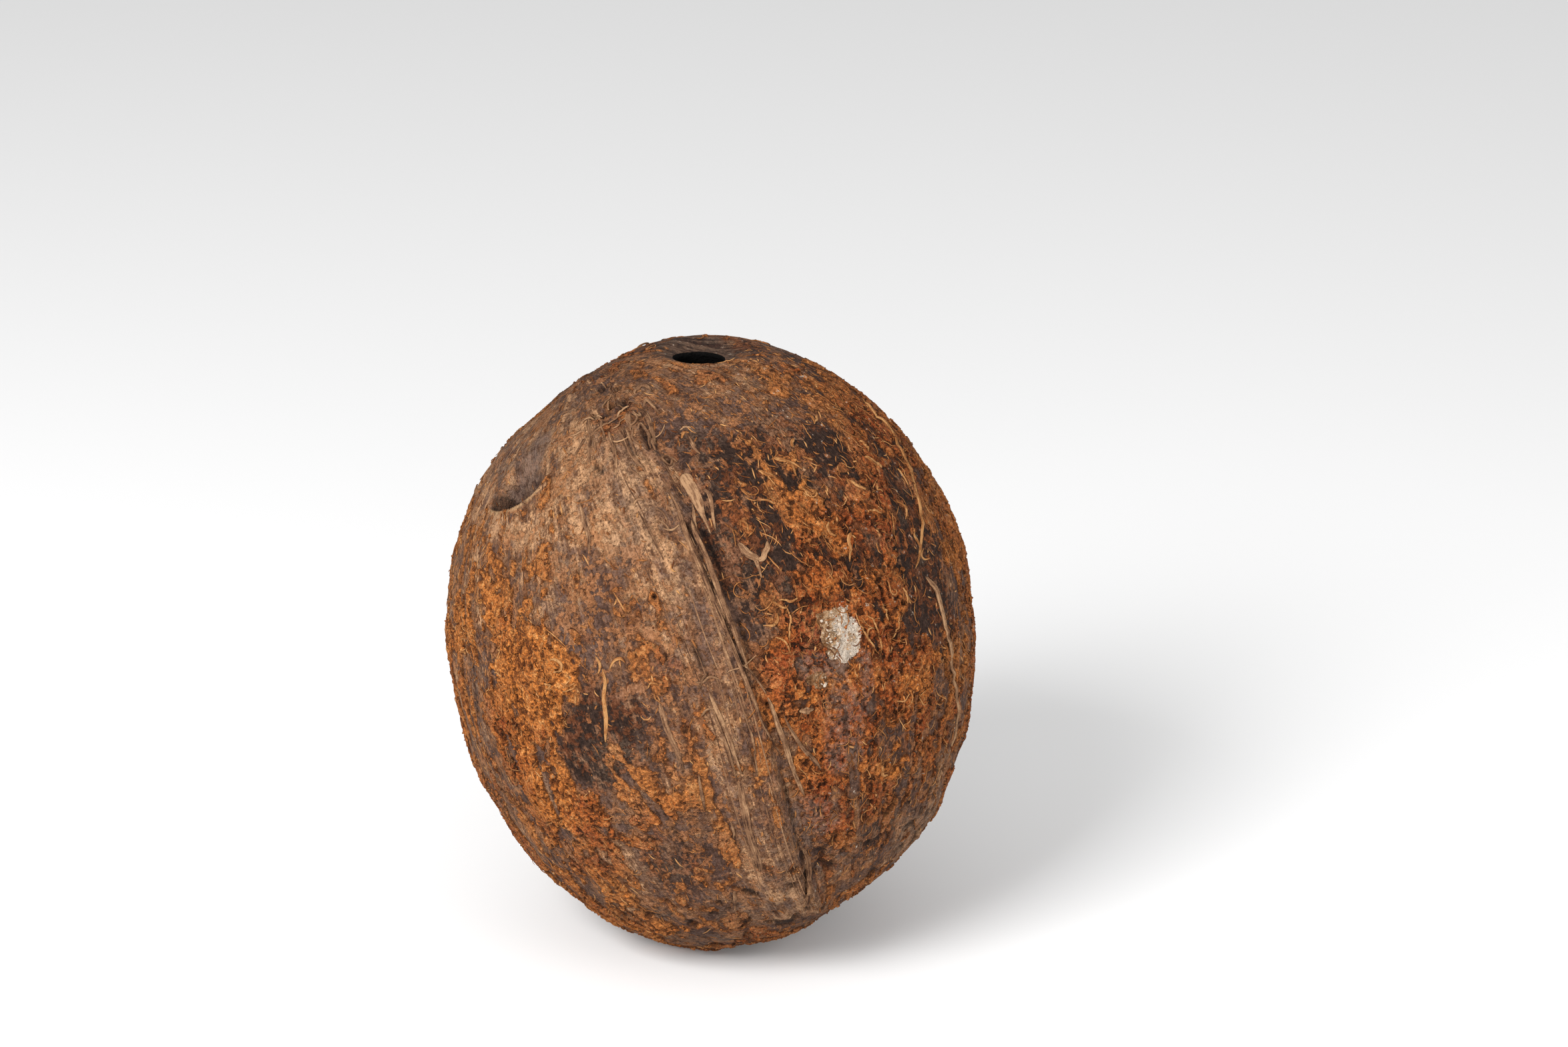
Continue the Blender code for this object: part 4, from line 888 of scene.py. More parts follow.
def dress_shell(mesh):
    """The same for the shell, and where its eyes are."""
    points = points_of(mesh) - CENTRE
    far = np.linalg.norm(points, axis=1)
    ways = points / far[:, None]
    cover = Cover(ways)
    dress(mesh, cover)
    for name in ("felt", "black", "gap", "band"):
        put_attribute(mesh, name, getattr(cover, name))
    # Where a crust can stand, so that the painted shadow beside its edges stays off the eyes and the mould
    put_attribute(mesh, "crusted", cover.coarse * (1.0 - cover.mould))
    # Faces in the drilled hole's neck and pocket, painted near black as the shade inside it
    eye = ways_to(*OPEN_EYE)
    aside = np.linalg.norm(points - np.outer(points @ eye, eye), axis=1)
    within = (aside < POCKET_RADIUS + 0.1 * MM) & (far < shell_radius(ways) - 0.3 * MM)
    mark_faces(mesh, "hole", within | (aside < HOLE_RADIUS + 0.02 * MM))
    put_attribute(mesh, "dish", dish(ways, DARK_DISH, 5.5 * MM, 11.5 * MM))
    inside, sides = scoop_parts(ways)
    upper = 1.0 - smooth(off_route(ways, SCOOP_SHADE), 2.0 * MM, 5.0 * MM)
    corner = 1.0 - smooth(distance_from(ways, SCOOP_SHADOW_CORNER), 1.0 * MM, 4.2 * MM)
    # The scoop's floor: partly its own darker skin, partly painted shade in its upper reach and its corner
    dark = np.maximum(np.maximum(smooth(scoop(ways), 0.05, 0.70), 0.72 * upper), 0.9 * corner)
    put_attribute(mesh, "scoop", dark * smooth(inside, -0.1 * MM, 0.25 * MM))
    # Painted shadow at the foot of the scoop's lip and in its corner
    foot = np.maximum(smooth(scoop(ways), 0.4, 0.95) * (0.35 + 0.65 * corner), 0.9 * corner)
    put_attribute(mesh, "scoop_foot_shadow", foot)
    # A painted highlight along the scoop's lip
    edge = between(inside, (-1.1 * MM, -0.5 * MM), (-0.1 * MM, 0.2 * MM))
    put_attribute(mesh, "scoop_lip_highlight", edge * smooth(sides, 0.1, 0.5))
    mesh.shade_smooth()


class Term:
    """A socket that takes part in sums."""

    def __init__(self, paint, socket):
        self.paint, self.socket = paint, socket

    def sum(self, operation, first, second):
        return self.paint.node("ShaderNodeMath", {"operation": operation}, first, second)

    def __add__(self, other):
        return self.sum("ADD", self, other)

    def __sub__(self, other):
        return self.sum("SUBTRACT", self, other)

    def __rsub__(self, other):
        return self.sum("SUBTRACT", other, self)

    def __mul__(self, other):
        return self.sum("MULTIPLY", self, other)

    __radd__ = __add__
    __rmul__ = __mul__


class Paint:
    """A material in the making."""

    def __init__(self, name):
        self.material = bpy.data.materials.new(name)
        self.material.use_nodes = True
        self.tree = self.material.node_tree
        self.surface = self.tree.nodes["Principled BSDF"]

    def node(self, kind, settings, *values, output=0, numbered=(), **named):
        """Makes a node, sets it up, then fills its sockets, in order, by number or by name."""
        made = self.tree.nodes.new(kind)
        for name, value in settings.items():
            setattr(made, name, value)
        for key, value in [*enumerate(values), *numbered, *named.items()]:
            self.fill(made.inputs[key], value)
        return Term(self, made.outputs[output])

    def fill(self, socket, value):
        if isinstance(value, Term):
            self.tree.links.new(value.socket, socket)
        else:
            socket.default_value = value

    def attribute(self, name, output="Fac"):
        return self.node("ShaderNodeAttribute", {"attribute_name": name}, output=output)

    def stretch(self, vector, factors):
        return self.node("ShaderNodeVectorMath", {"operation": "MULTIPLY"}, vector, factors)

    def noise(self, vector, scale, detail=2.0, roughness=0.5):
        return self.node(
            "ShaderNodeTexNoise", {}, Vector=vector, Scale=scale, Detail=detail, Roughness=roughness
        )

    def ramp(self, value, low, high):
        """0 below low, 1 above high, and an even curve between them."""
        settings = {"interpolation_type": "SMOOTHSTEP", "clamp": True}
        return self.node("ShaderNodeMapRange", settings, value, low, high, 0.0, 1.0)

    def mix(self, factor, first, second, blend="MIX"):
        settings = {"data_type": "RGBA", "blend_type": blend, "clamp_factor": True}
        return self.node("ShaderNodeMix", settings, factor, output=2, numbered=((6, first), (7, second)))

    def bump(self, height, distance, strength=1.0):
        """A normal for a height in parts of this distance, in metres."""
        return self.node("ShaderNodeBump", {}, Strength=strength, Distance=distance, Height=height)

    def finish(self, colour, roughness, normal=None):
        self.fill(self.surface.inputs["Base Color"], colour)
        self.surface.inputs["Roughness"].default_value = roughness
        self.surface.inputs["Specular IOR Level"].default_value = DRY_SHINE
        if normal is not None:
            self.fill(self.surface.inputs["Normal"], normal)
        return self.material


# How far a seen colour is dimmed to be right in the studio's light, and how little everything shines
LIGHT_SHARE, DRY_SHINE = 0.555, 0.12
SHELL_RELIEF, CRUST_RELIEF, FIBRE_RELIEF, CRUMB_RELIEF = 0.0010, 0.0011, 0.0004, 0.0003


def seen(red, green, blue):
    """The surface colour that looks like this in the studio's light, from the usual 0 to 255 scale."""
    def channel(value):
        value /= 255.0
        return value / 12.92 if value <= 0.04045 else ((value + 0.055) / 1.055) ** 2.4

    return (*(LIGHT_SHARE * channel(value) for value in (red, green, blue)), 1.0)


SHELL, WORN = seen(58, 41, 33), seen(92, 66, 54)
BROWN, TAN, SLATE = seen(130, 91, 65), seen(208, 158, 115), seen(102, 79, 70)
CRUMBS_ON_FELT, CRUMBS_ON_SHELL = seen(178, 118, 74), seen(156, 84, 38)
THIN_PITH, THIN_RUST, THIN_CRUST = seen(168, 109, 67), seen(148, 78, 38), seen(170, 112, 68)
PITH_DEEP, PITH_MID, PITH_PALE = seen(132, 74, 34), seen(218, 132, 62), seen(244, 174, 102)
RUST_DEEP, RUST_MID, RUST_PALE = seen(64, 27, 14), seen(160, 72, 30), seen(208, 120, 62)
STAIN_COLOUR = seen(84, 32, 22)
DISH_DARK, DISH_PALE = seen(60, 44, 38), seen(124, 98, 80)
THREAD = seen(206, 160, 116)
DUST_COLOUR = seen(176, 144, 116)
SCOOP_DARK, SCOOP_PALE = seen(80, 58, 49), seen(142, 116, 102)
# The painted shadow at the foot of the scoop's lip, and the painted highlight along the lip
SCOOP_FOOT_SHADOW, LIP_HIGHLIGHT = seen(34, 23, 18), seen(206, 164, 120)
MOULD_PALE, MOULD_YELLOW, MOULD_DEEP = seen(226, 208, 188), seen(196, 158, 120), seen(132, 90, 56)
# Painted shade: brown and black in pits, creases and beside the crust's edges, near black inside the drilled
# hole
PIT_SHADE_BROWN, PIT_SHADE_BLACK, HOLE_SHADE = seen(92, 52, 27), seen(36, 22, 15), seen(8, 6, 5)
# Near black for the painted shade in pores, cracks and dimples, and the lilac film's own colour
PORE_SHADE, FILM_COLOUR = seen(24, 14, 10), seen(150, 122, 108)
FIBRE_DARK, FIBRE_MID, FIBRE_PALE = seen(104, 58, 30), seen(172, 110, 60), seen(216, 158, 100)
SEAM_DARK, SEAM_MID, SEAM_PALE = seen(80, 52, 36), seen(146, 106, 76), seen(196, 152, 112)


def millimetres(paint):
    """The shaded point's own place, in millimetres."""
    return paint.stretch(paint.node("ShaderNodeTexCoord", {}, output="Object"), (1.0 / MM,) * 3)


def three_tones(paint, value, deep, middle, pale):
    """Deep below 0, middle at a half and pale above 1."""
    return paint.mix(paint.ramp(value, 0.5, 1.0), paint.mix(paint.ramp(value, 0.0, 0.5), deep, middle), pale)


def pith_colour(paint, rust, tone):
    orange = three_tones(paint, tone, PITH_DEEP, PITH_MID, PITH_PALE)
    return paint.mix(rust, orange, three_tones(paint, tone, RUST_DEEP, RUST_MID, RUST_PALE))


# How far from its middle a noise still draws a line: not at all, and fully
LINE_WIDTH = (0.028, 0.008)


class Grounds:
    """The noises that the shell's and the crust's materials share."""

    def __init__(self, paint):
        self.paint = paint
        self.place = paint.attribute("nut_place", "Vector")
        self.here = millimetres(paint)
        self.fine = paint.noise(self.here, 0.85, 3.0, 0.60)
        self.speck = paint.noise(self.here, 1.8, 2.0, 0.55)
        self.broad = paint.noise(self.here, 0.17, 3.0, 0.6)
        self.dot = paint.noise(self.here, 1.9, 2.0, 0.55)
        self.patch = paint.noise(self.here, 0.40, 4.0, 0.60)
        self.rust = paint.ramp(paint.attribute("rust") + (self.broad - 0.5) * 1.2, 0.0, 1.0)
        dusty = paint.attribute("dust") + (self.broad - 0.5) * 1.2 + (self.speck - 0.5) * 0.7
        self.dusty = paint.ramp(dusty, 0.15, 1.0)

    def lines(self, scale, stretched):
        """Thin bent lines, where a noise crosses its middle, broken up by another."""
        paint = self.paint
        winding = paint.noise(paint.stretch(self.place, stretched), scale, 1.5, 0.5)
        off = paint.node("ShaderNodeMath", {"operation": "ABSOLUTE"}, winding - 0.5)
        kept = paint.ramp(self.broad + (self.fine - 0.5) * 0.8, 0.44, 0.52)
        return paint.ramp(off, *LINE_WIDTH) * kept


def grain_light_and_shade(paint, colour, amount, dark, pale):
    """The colour with dark grain where the amount is low and pale grain where it is high: partly tone, and
    partly painted shade and light where the amount follows a bump.
    """
    dark, pale = (dark, dark * 0.96, dark * 0.93, 1.0), (pale, pale, pale, 1.0)
    return paint.mix(1.0, colour, paint.mix(paint.ramp(amount, 0.40, 0.60), dark, pale), "MULTIPLY")


def shell_material():
    """Dark shell, brown felt, thin pith and dust where the skin's amounts put them; painted shade in pits,
    pores, hole, scoop and beside the crust, and a painted lip highlight.
    """
    paint = Paint("coconut_shell")
    ground = Grounds(paint)
    fine, speck, broad, patch = ground.fine, ground.speck, ground.broad, ground.patch
    hair = paint.noise(paint.stretch(ground.place, (1.0, 1.0, 0.10)), 1.5, 3.0, 0.65)
    mottle = paint.noise(paint.stretch(ground.place, (1.0, 1.0, 0.42)), 0.34, 4.0, 0.6)
    grain = paint.noise(paint.stretch(ground.place, (1.0, 1.0, 0.16)), 0.45, 3.0, 0.6)
    black = paint.attribute("black")
    level = paint.attribute("felt") + (patch - 0.5) * 1.25 + (fine - 0.5) * 0.9 + (hair - 0.5) * 0.8
    colour = paint.mix(paint.ramp(level, -0.22, -0.02), paint.mix(black, WORN, SHELL), BROWN)
    colour = paint.mix(paint.ramp(level, 0.14, 0.42), colour, TAN)
    slate = mottle + (fine - 0.5) * 0.8 + (hair - 0.5) * 0.4 + paint.attribute("gap") * 0.16
    slate = paint.ramp(slate, 0.45, 0.57) * (1.0 - black)
    slate = slate * (1.0 - paint.ramp(paint.attribute("felt"), 0.22, 0.50) * 0.7)
    colour = paint.mix(slate * 0.70, colour, SLATE)
    thin = paint.mix(ground.rust, THIN_PITH, THIN_RUST)
    pithy = paint.attribute("pith") + (mottle - 0.5) * 1.7 + (patch - 0.5) * 1.0 + (fine - 0.5) * 1.3
    pithy = paint.ramp(pithy, -0.15, 0.05)
    colour = paint.mix(pithy * (0.85 - slate * 0.35), colour, thin)
    crumbly = paint.ramp(paint.noise(ground.here, 0.50, 4.0, 0.70) + (broad - 0.5) * 0.6, 0.495, 0.56)
    crumb_tone = paint.mix(black, CRUMBS_ON_FELT, CRUMBS_ON_SHELL)
    colour = paint.mix(crumbly * (0.72 - paint.attribute("band") * 0.4 - black * 0.38), colour, crumb_tone)
    colour = paint.mix(ground.dusty * (1.0 - pithy * 0.7) * 0.35, colour, DUST_COLOUR)
    threads = ground.lines(1.0, (1.0, 1.0, 0.30)) * 0.8 + ground.lines(0.8, (1.0, 0.45, 1.0)) * 0.5
    threads = threads * paint.ramp(level, 0.0, 0.25)
    colour = paint.mix(threads * 0.5, colour, THREAD)
    # Grain from the bump's own noises: partly tone, partly painted shade in its low parts and painted light
    # on its high parts
    colour = grain_light_and_shade(paint, colour, fine * 0.32 + speck * 0.38 + hair * 0.3, 0.62, 1.30)
    # Small pits, sunk by the bump and painted dark as the shade in them
    pit_shade_dots = paint.ramp(ground.dot, 0.38, 0.34) * 0.7
    colour = paint.mix(pit_shade_dots, colour, paint.mix(black, PIT_SHADE_BROWN, PIT_SHADE_BLACK))
    # Painted shadow on the skin just beside the crust's edges
    edge_shadow = paint.ramp(paint.attribute("pith") + (fine - 0.5) * 0.25, -0.10, -0.03) * 0.5
    colour = paint.mix(edge_shadow * paint.attribute("crusted"), colour, paint.mix(black, PIT_SHADE_BROWN, PIT_SHADE_BLACK))
    dish_tone = paint.ramp(grain * 0.6 + fine * 0.4 + (hair - 0.5), 0.40, 0.60)
    dished = paint.ramp(paint.attribute("dish") + (fine - 0.5) * 1.2 + (grain - 0.5), 0.15, 0.7)
    colour = paint.mix(dished * 0.85, colour, paint.mix(dish_tone, DISH_DARK, DISH_PALE))
    # Painted shadow at the foot of the scoop's lip and in its corner
    foot = paint.attribute("scoop_foot_shadow")
    scuffs = paint.ramp(fine * 0.6 + hair * 0.4 + (broad - 0.5) + foot * 0.05, 0.40, 0.66)
    scuffed = paint.mix(scuffs, SCOOP_DARK, SCOOP_PALE)
    scuffed = paint.mix(paint.ramp(foot - fine * 0.5, 0.0, 0.5) * 0.85, scuffed, SCOOP_FOOT_SHADOW)
    scooped = paint.ramp(paint.attribute("scoop") + (fine - 0.5) * 0.8 + (hair - 0.5) * 0.8, 0.0, 0.9)
    colour = paint.mix(scooped * 0.86, colour, scuffed)
    # The painted highlight along the scoop's lip
    colour = paint.mix(paint.attribute("scoop_lip_highlight") * paint.ramp(fine, 0.34, 0.6), colour, LIP_HIGHLIGHT)
    colour = growths(paint, ground, colour)
    # Painted shade in pores, cracks and dimples
    colour = paint.mix(paint.attribute("pore"), colour, PORE_SHADE)
    # The drilled hole painted near black as the shade inside it
    colour = paint.mix(paint.attribute("hole"), colour, HOLE_SHADE)
    height = fine * 0.8 + speck * 0.4 + hair * 0.3 + (crumbly + pithy) * 0.22 + threads * 0.15 - pit_shade_dots * 0.3
    return paint.finish(colour, 0.9, paint.bump(height, SHELL_RELIEF))


def growths(paint, ground, colour):
    """Lilac film and pale mould over a colour."""
    filmy = paint.attribute("film") * paint.ramp(ground.fine, 0.34, 0.60)
    colour = paint.mix(filmy * 0.5, colour, FILM_COLOUR)
    soft = paint.noise(ground.here, 0.55, 3.0, 0.55)
    mouldy = paint.ramp(paint.attribute("mould") + (ground.fine - 0.5) * 2.0, 0.30, 0.52)
    tone = soft * 2.6 + ground.speck * 0.6 - paint.attribute("yellow") * 0.9 - 0.56
    return paint.mix(mouldy, colour, three_tones(paint, tone, MOULD_DEEP, MOULD_YELLOW, MOULD_PALE))


def crust_material():
    """Spongy pith: pale on its lumps and deep in its hollows as painted light and shade, with dark pits that
    are partly shell showing through and partly painted shade.
    """
    paint = Paint("pith_crust")
    ground = Grounds(paint)
    fine, speck = ground.fine, ground.speck
    cells = paint.node(
        "ShaderNodeTexVoronoi", {"feature": "F1"}, Vector=ground.here, Scale=1.25, Detail=1.0, Roughness=0.6
    )
    # Random tone, darker towards the cells' edges where the bump sinks and in the hollows, as painted shade
    tone = fine * 1.1 + speck * 0.7 + ground.broad * 0.8 + ground.patch * 1.8 - cells * 0.12 - 1.56
    tone = tone - paint.attribute("hollow") * 0.45
    colour = pith_colour(paint, ground.rust, tone)
    stain = paint.ramp(paint.noise(ground.here, 0.30, 4.0, 0.75) + (fine - 0.5) * 0.6, 0.56, 0.66)
    colour = paint.mix(stain * 0.7 * (0.15 + ground.rust), colour, STAIN_COLOUR)
    colour = paint.mix((1.0 - paint.attribute("rich")) * 0.5, colour, THIN_CRUST)
    colour = paint.mix(ground.dusty * 0.25, colour, DUST_COLOUR)
    # Grain from the bump's own noises: partly tone, partly painted shade in its low parts and painted light
    # on its high parts
    colour = grain_light_and_shade(paint, colour, speck * 0.6 + fine * 0.4, 0.66, 1.22)
    threads = ground.lines(1.1, (1.0, 1.0, 0.35)) * 0.8 + ground.lines(0.9, (1.0, 0.5, 1.0)) * 0.6
    colour = paint.mix(threads * 0.45, colour, FIBRE_PALE)
    # Small pits, sunk by the bump and painted dark as the shade in them, more in the hollows
    pit_shade_dots = paint.ramp(ground.dot, 0.40, 0.35) * (0.25 + paint.attribute("hollow") * 0.8)
    colour = paint.mix(pit_shade_dots * 0.65, colour, PIT_SHADE_BROWN)
    # Pits painted dark: partly the shell showing through, partly painted shade in the crevices between the
    # lumps
    pits = paint.ramp(paint.attribute("pit") + (fine - 0.5) * 1.0, 0.40, 0.60)
    # Painted shade along the crust's own edge, where it tucks under the skin
    rim = paint.ramp(paint.attribute("pith") + (fine - 0.5) * 0.3, 0.05, -0.02)
    pit_shade_colour = paint.mix(ground.rust * 1.4, PIT_SHADE_BROWN, PIT_SHADE_BLACK)
    colour = paint.mix(pits * 0.75, colour, pit_shade_colour)
    colour = paint.mix(rim * 0.7, colour, pit_shade_colour)
    colour = growths(paint, ground, colour)
    # Painted shade in pores, cracks and dimples
    colour = paint.mix(paint.attribute("pore"), colour, PORE_SHADE)
    height = fine * 0.8 + speck * 0.5 - cells * 0.3 - pits * 0.4 - pit_shade_dots * 0.35 + threads * 0.15
    return paint.finish(colour, 0.95, paint.bump(height, CRUST_RELIEF))


def fibre_material(name, tones):
    """Dry husk fibre, paler or darker from one to the next and along each, with lines along its grain."""
    paint = Paint(name)
    here = millimetres(paint)
    fine = paint.noise(here, 3.2, 3.0, 0.65)
    lines = paint.noise(paint.attribute("grain", "Vector"), 3.0, 2.0, 0.6)
    tone = paint.attribute("shade") + (paint.noise(here, 0.6, 3.0, 0.6) - 0.5) * 1.4 + (fine - 0.5) * 0.8
    colour = three_tones(paint, tone + (lines - 0.5) * 2.2, *tones)
    return paint.finish(colour, 0.85, paint.bump(fine * 0.5 + lines, FIBRE_RELIEF, 0.9))


def crumb_material():
    """The same pith as on the skin, each crumb with its own tone."""
    paint = Paint("pith_crumb")
    here = millimetres(paint)
    fine = paint.noise(here, 2.2, 2.0, 0.6)
    colour = pith_colour(paint, paint.attribute("rust"), paint.attribute("shade") + (fine - 0.5) * 1.4)
    return paint.finish(colour, 0.95, paint.bump(fine, CRUMB_RELIEF, 0.8))


def mould_material():
    paint = Paint("mould")
    here = millimetres(paint)
    speck = paint.noise(here, 1.6, 3.0, 0.6)
    tone = paint.ramp(speck + paint.attribute("shade") - 0.5, 0.25, 0.6)
    colour = paint.mix(tone, MOULD_YELLOW, MOULD_PALE)
    return paint.finish(colour, 1.0, paint.bump(speck, CRUMB_RELIEF, 0.8))


# Paths over the nut

def turned_about(vectors, axes, turns):
    """Vectors at right angles to their axes, turned about them."""
    return np.cos(turns)[:, None] * vectors + np.sin(turns)[:, None] * np.cross(axes, vectors)


def down_meridian(ways):
    """The direction along the shell, away from the stem end."""
    angle, azimuth = places_of(ways)
    ahead = ways_to(angle + 0.5, azimuth) - ways_to(angle - 0.5, azimuth)
    ahead -= (ahead * ways).sum(-1)[..., None] * ways
    return ahead / np.linalg.norm(ahead, axis=-1)[..., None]


# How often, and how many at a time, small things are thrown, and how far they keep from the eye and the floor
SCATTER_ROUNDS, SCATTER_TRIES = 40, 12000
CLEAR_OF_EYE, CLEAR_OF_FLOOR = 0.0012, 0.0012


def scatter(draw, count, density, near=None):
    """Unit vectors all over the nut, or near a place, thinned to the density that a cover gives."""
    found = np.empty((0, 3))
    for _ in range(SCATTER_ROUNDS):
        ways = draw.normal(size=(SCATTER_TRIES, 3))
        if near is not None:
            ways = ways_to(*near[0]) + ways * near[1] / GIRTH_RADIUS
        ways /= np.linalg.norm(ways, axis=1)[:, None]
        keep = draw.uniform(size=len(ways)) < density(Cover(ways))
        keep &= distance_from(ways, OPEN_EYE) > HOLE_RADIUS + CLEAR_OF_EYE
        keep &= ways[:, 2] * shell_radius(ways) > CLEAR_OF_FLOOR - CENTRE_HEIGHT
        found = np.concatenate([found, ways[keep]])
        if len(found) >= count:
            break
    return found[:count]


def wander(draw, starts, turns, lengths, steps, curl, waver):
    """Paths that start off the meridians by these turns and bend as they go, in radians a metre."""
    ways, heading = [starts], turned_about(down_meridian(starts), starts, turns)
    bend = draw.normal(0.0, 1.0, len(starts)) * curl
    stride = lengths / steps
    for _ in range(steps):
        way = ways[-1]
        bend = bend + draw.normal(0.0, 1.0, len(starts)) * waver
        heading = turned_about(heading, way, bend * stride)
        way = way + heading * (stride / GIRTH_RADIUS)[:, None]
        way /= np.linalg.norm(way, axis=1)[:, None]
        heading -= (heading * way).sum(1)[:, None] * way
        heading /= np.linalg.norm(heading, axis=1)[:, None]
        ways.append(way)
    return np.stack(ways, 1)


# Small things: one shape made once, and all its copies joined in one mesh

class Shape:
    """A small mesh as arrays: its points, its faces' corners and where each face starts."""

    def __init__(self, bm):
        bm.verts.index_update()
        self.points = np.array([vert.co for vert in bm.verts])
        faces = [[vert.index for vert in face.verts] for face in bm.faces]
        self.corners = np.array([corner for face in faces for corner in face])
        self.starts = np.cumsum([0] + [len(face) for face in faces])[:-1]
        bm.free()


def rod(rings, sides):
    """A straight rod of radius 1, along Z from 0 to the last ring."""
    bm = bmesh.new()
    bmesh.ops.create_cone(bm, cap_ends=True, segments=sides, radius1=1.0, radius2=1.0, depth=1.0)
    upright = [edge for edge in bm.edges if abs(edge.verts[0].co.z - edge.verts[1].co.z) > 0.5]
    bmesh.ops.subdivide_edges(bm, edges=upright, cuts=rings - 2, use_grid_fill=True)
    bmesh.ops.translate(bm, verts=bm.verts, vec=(0.0, 0.0, 0.5))
    bmesh.ops.scale(bm, verts=bm.verts, vec=(1.0, 1.0, rings - 1.0))
    return Shape(bm)


def crumb():
    """A rough lump of radius 1 with twenty faces."""
    bm = bmesh.new()
    bmesh.ops.create_icosphere(bm, subdivisions=1, radius=1.0)
    return Shape(bm)


def join_copies(name, shape, points, material, slot, **amounts):
    """One piece of every copy of a shape: points by copy, and one amount by copy."""
    copies, size = points.shape[:2]
    mesh = bpy.data.meshes.new(name)
    mesh.vertices.add(copies * size)
    mesh.vertices.foreach_set("co", points.ravel())
    corners = shape.corners[None] + size * np.arange(copies)[:, None]
    mesh.loops.add(corners.size)
    mesh.loops.foreach_set("vertex_index", corners.ravel())
    starts = shape.starts[None] + len(shape.corners) * np.arange(copies)[:, None]
    mesh.polygons.add(starts.size)
    mesh.polygons.foreach_set("loop_start", starts.ravel())
    mesh.update(calc_edges=True)
    for amount, values in amounts.items():
        put_attribute(mesh, amount, np.repeat(values, size))
    mesh.shade_smooth()
    mesh.materials.append(material)
    piece = link(name, mesh)
    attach(piece, "root")
    return piece


def sweep(shape, centres, ups, widths, heights):
    """Copies of a rod along these lines: centres by copy and ring, half widths and half heights too."""
    ahead = np.gradient(centres, axis=1)
    ahead /= np.linalg.norm(ahead, axis=-1)[..., None]
    side = np.cross(ahead, ups)
    side /= np.linalg.norm(side, axis=-1)[..., None]
    up = np.cross(side, ahead)
    across, rise, ring = shape.points.T
    ring = np.round(ring).astype(int)
    points = centres[:, ring] + side[:, ring] * (across * widths[:, ring])[..., None]
    return points + up[:, ring] * (rise * heights[:, ring])[..., None]


# How thick the tips of a fibre are, against its middle
FIBRE_TIP = 0.3


def lay_fibres(name, draw, ways, thick, lift, flat, material, sides, tone):
    """A piece of fibres along these paths: how thick, how high each ring is lifted and how flat."""
    copies, rings = ways.shape[:2]
    points, _ = surface(ways.reshape(-1, 3), (lift + 0.25 * thick[:, None] * flat).ravel())
    taper = 1.0 - (1.0 - FIBRE_TIP) * np.abs(np.linspace(-1.0, 1.0, rings)) ** 4
    half = 0.5 * thick[:, None] * taper
    shape = rod(rings, sides)
    swept = sweep(shape, points.reshape(ways.shape), ways, half, half * flat)
    shade = np.clip(draw.normal(*tone, copies), 0.0, 1.2)
    join_copies(name, shape, swept, material, "husk_fibre", shade=shade)


# How deep fibres are pressed into what they lie on
SUNK = 0.05 * MM


def lifts(draw, copies, rings, height, free):
    """Low humps along most fibres, and one free end on some."""
    share = np.linspace(0.0, 1.0, rings)[None]
    hump = np.sin(math.pi * share * draw.uniform(0.6, 1.4, copies)[:, None]).clip(0.0)
    loose = share**2 * (draw.uniform(size=copies) < free)[:, None] * draw.uniform(0.5, 2.0, copies)[:, None]
    return height * (hump * draw.uniform(0.0, 1.0, copies)[:, None] + loose)


def beside_ridge(cover, near, far):
    """1 between these many degrees to the right of a ridge."""
    aside = (cover.azimuth + 10.0) % SECTOR - 10.0
    return between(aside, (near, near + 5.0), (far - 8.0, far))


def curly_density(cover):
    rich = beside_ridge(cover, 4.0, 78.0) * between(cover.angle, (44.0, 60.0), (126.0, 142.0))
    rich = rich * np.where((cover.azimuth > -120.0) & (cover.azimuth < -30.0), 0.15, 1.0)
    stem = (1.0 - smooth(cover.angle, 26.0, 40.0)) * beside_ridge(cover, -12.0, 16.0)
    return np.clip(0.07 + 0.75 * rich + 0.5 * stem, 0.0, 1.0) * (0.4 + 0.6 * smooth(cover.pith, -0.3, 0.1))


def dash_density(cover):
    upper = beside_ridge(cover, 9.0, 75.0) * between(cover.angle, (28.0, 38.0), (62.0, 78.0))
    return np.clip(0.22 + 0.75 * upper, 0.0, 1.0) * (1.0 - 0.35 * smooth(38.0 - cover.angle, 0.0, 12.0))


def band_fibres(material):
    """Long flat fibres side by side along each ridge, the skin of the husk's seam."""
    draw = np.random.default_rng(101)
    count, rings = 26, 34
    paths = []
    for turn in ridge_turns():
        top = draw.uniform(36.0, 128.0, count)
        span = draw.uniform(9.0, 46.0, count)
        across = draw.uniform(-7.2, 4.0, count)
        across = np.where(draw.uniform(size=count) < 0.35, draw.uniform(0.5, 4.1, count), across)
        drift = draw.normal(0.0, 0.5, count)
        share = np.linspace(0.0, 1.0, rings)[None]
        angle = top[:, None] + np.minimum(span, 152.0 - top)[:, None] * share
        waver = draw.uniform(0.0, 6.28, count)[:, None] + share * draw.uniform(3.0, 9.0, count)[:, None]
        offset = (across[:, None] + drift[:, None] * (share - 0.5) + 0.13 * np.sin(waver)) * MM
        azimuth = turn + np.degrees(offset / (GIRTH_RADIUS * np.sin(np.radians(angle))))
        paths.append(ways_to(angle, azimuth))
    ways = np.concatenate(paths)
    thick = draw.uniform(0.18, 0.50, len(ways)) * MM
    lift = lifts(draw, len(ways), rings, 0.06 * MM, 0.10) - SUNK
    lay_fibres("ridge_band_fibres", draw, ways, thick, lift, 0.35, material, 6, (0.38, 0.22))


STRAND_RINGS, STRAND_SIDES = 34, 16


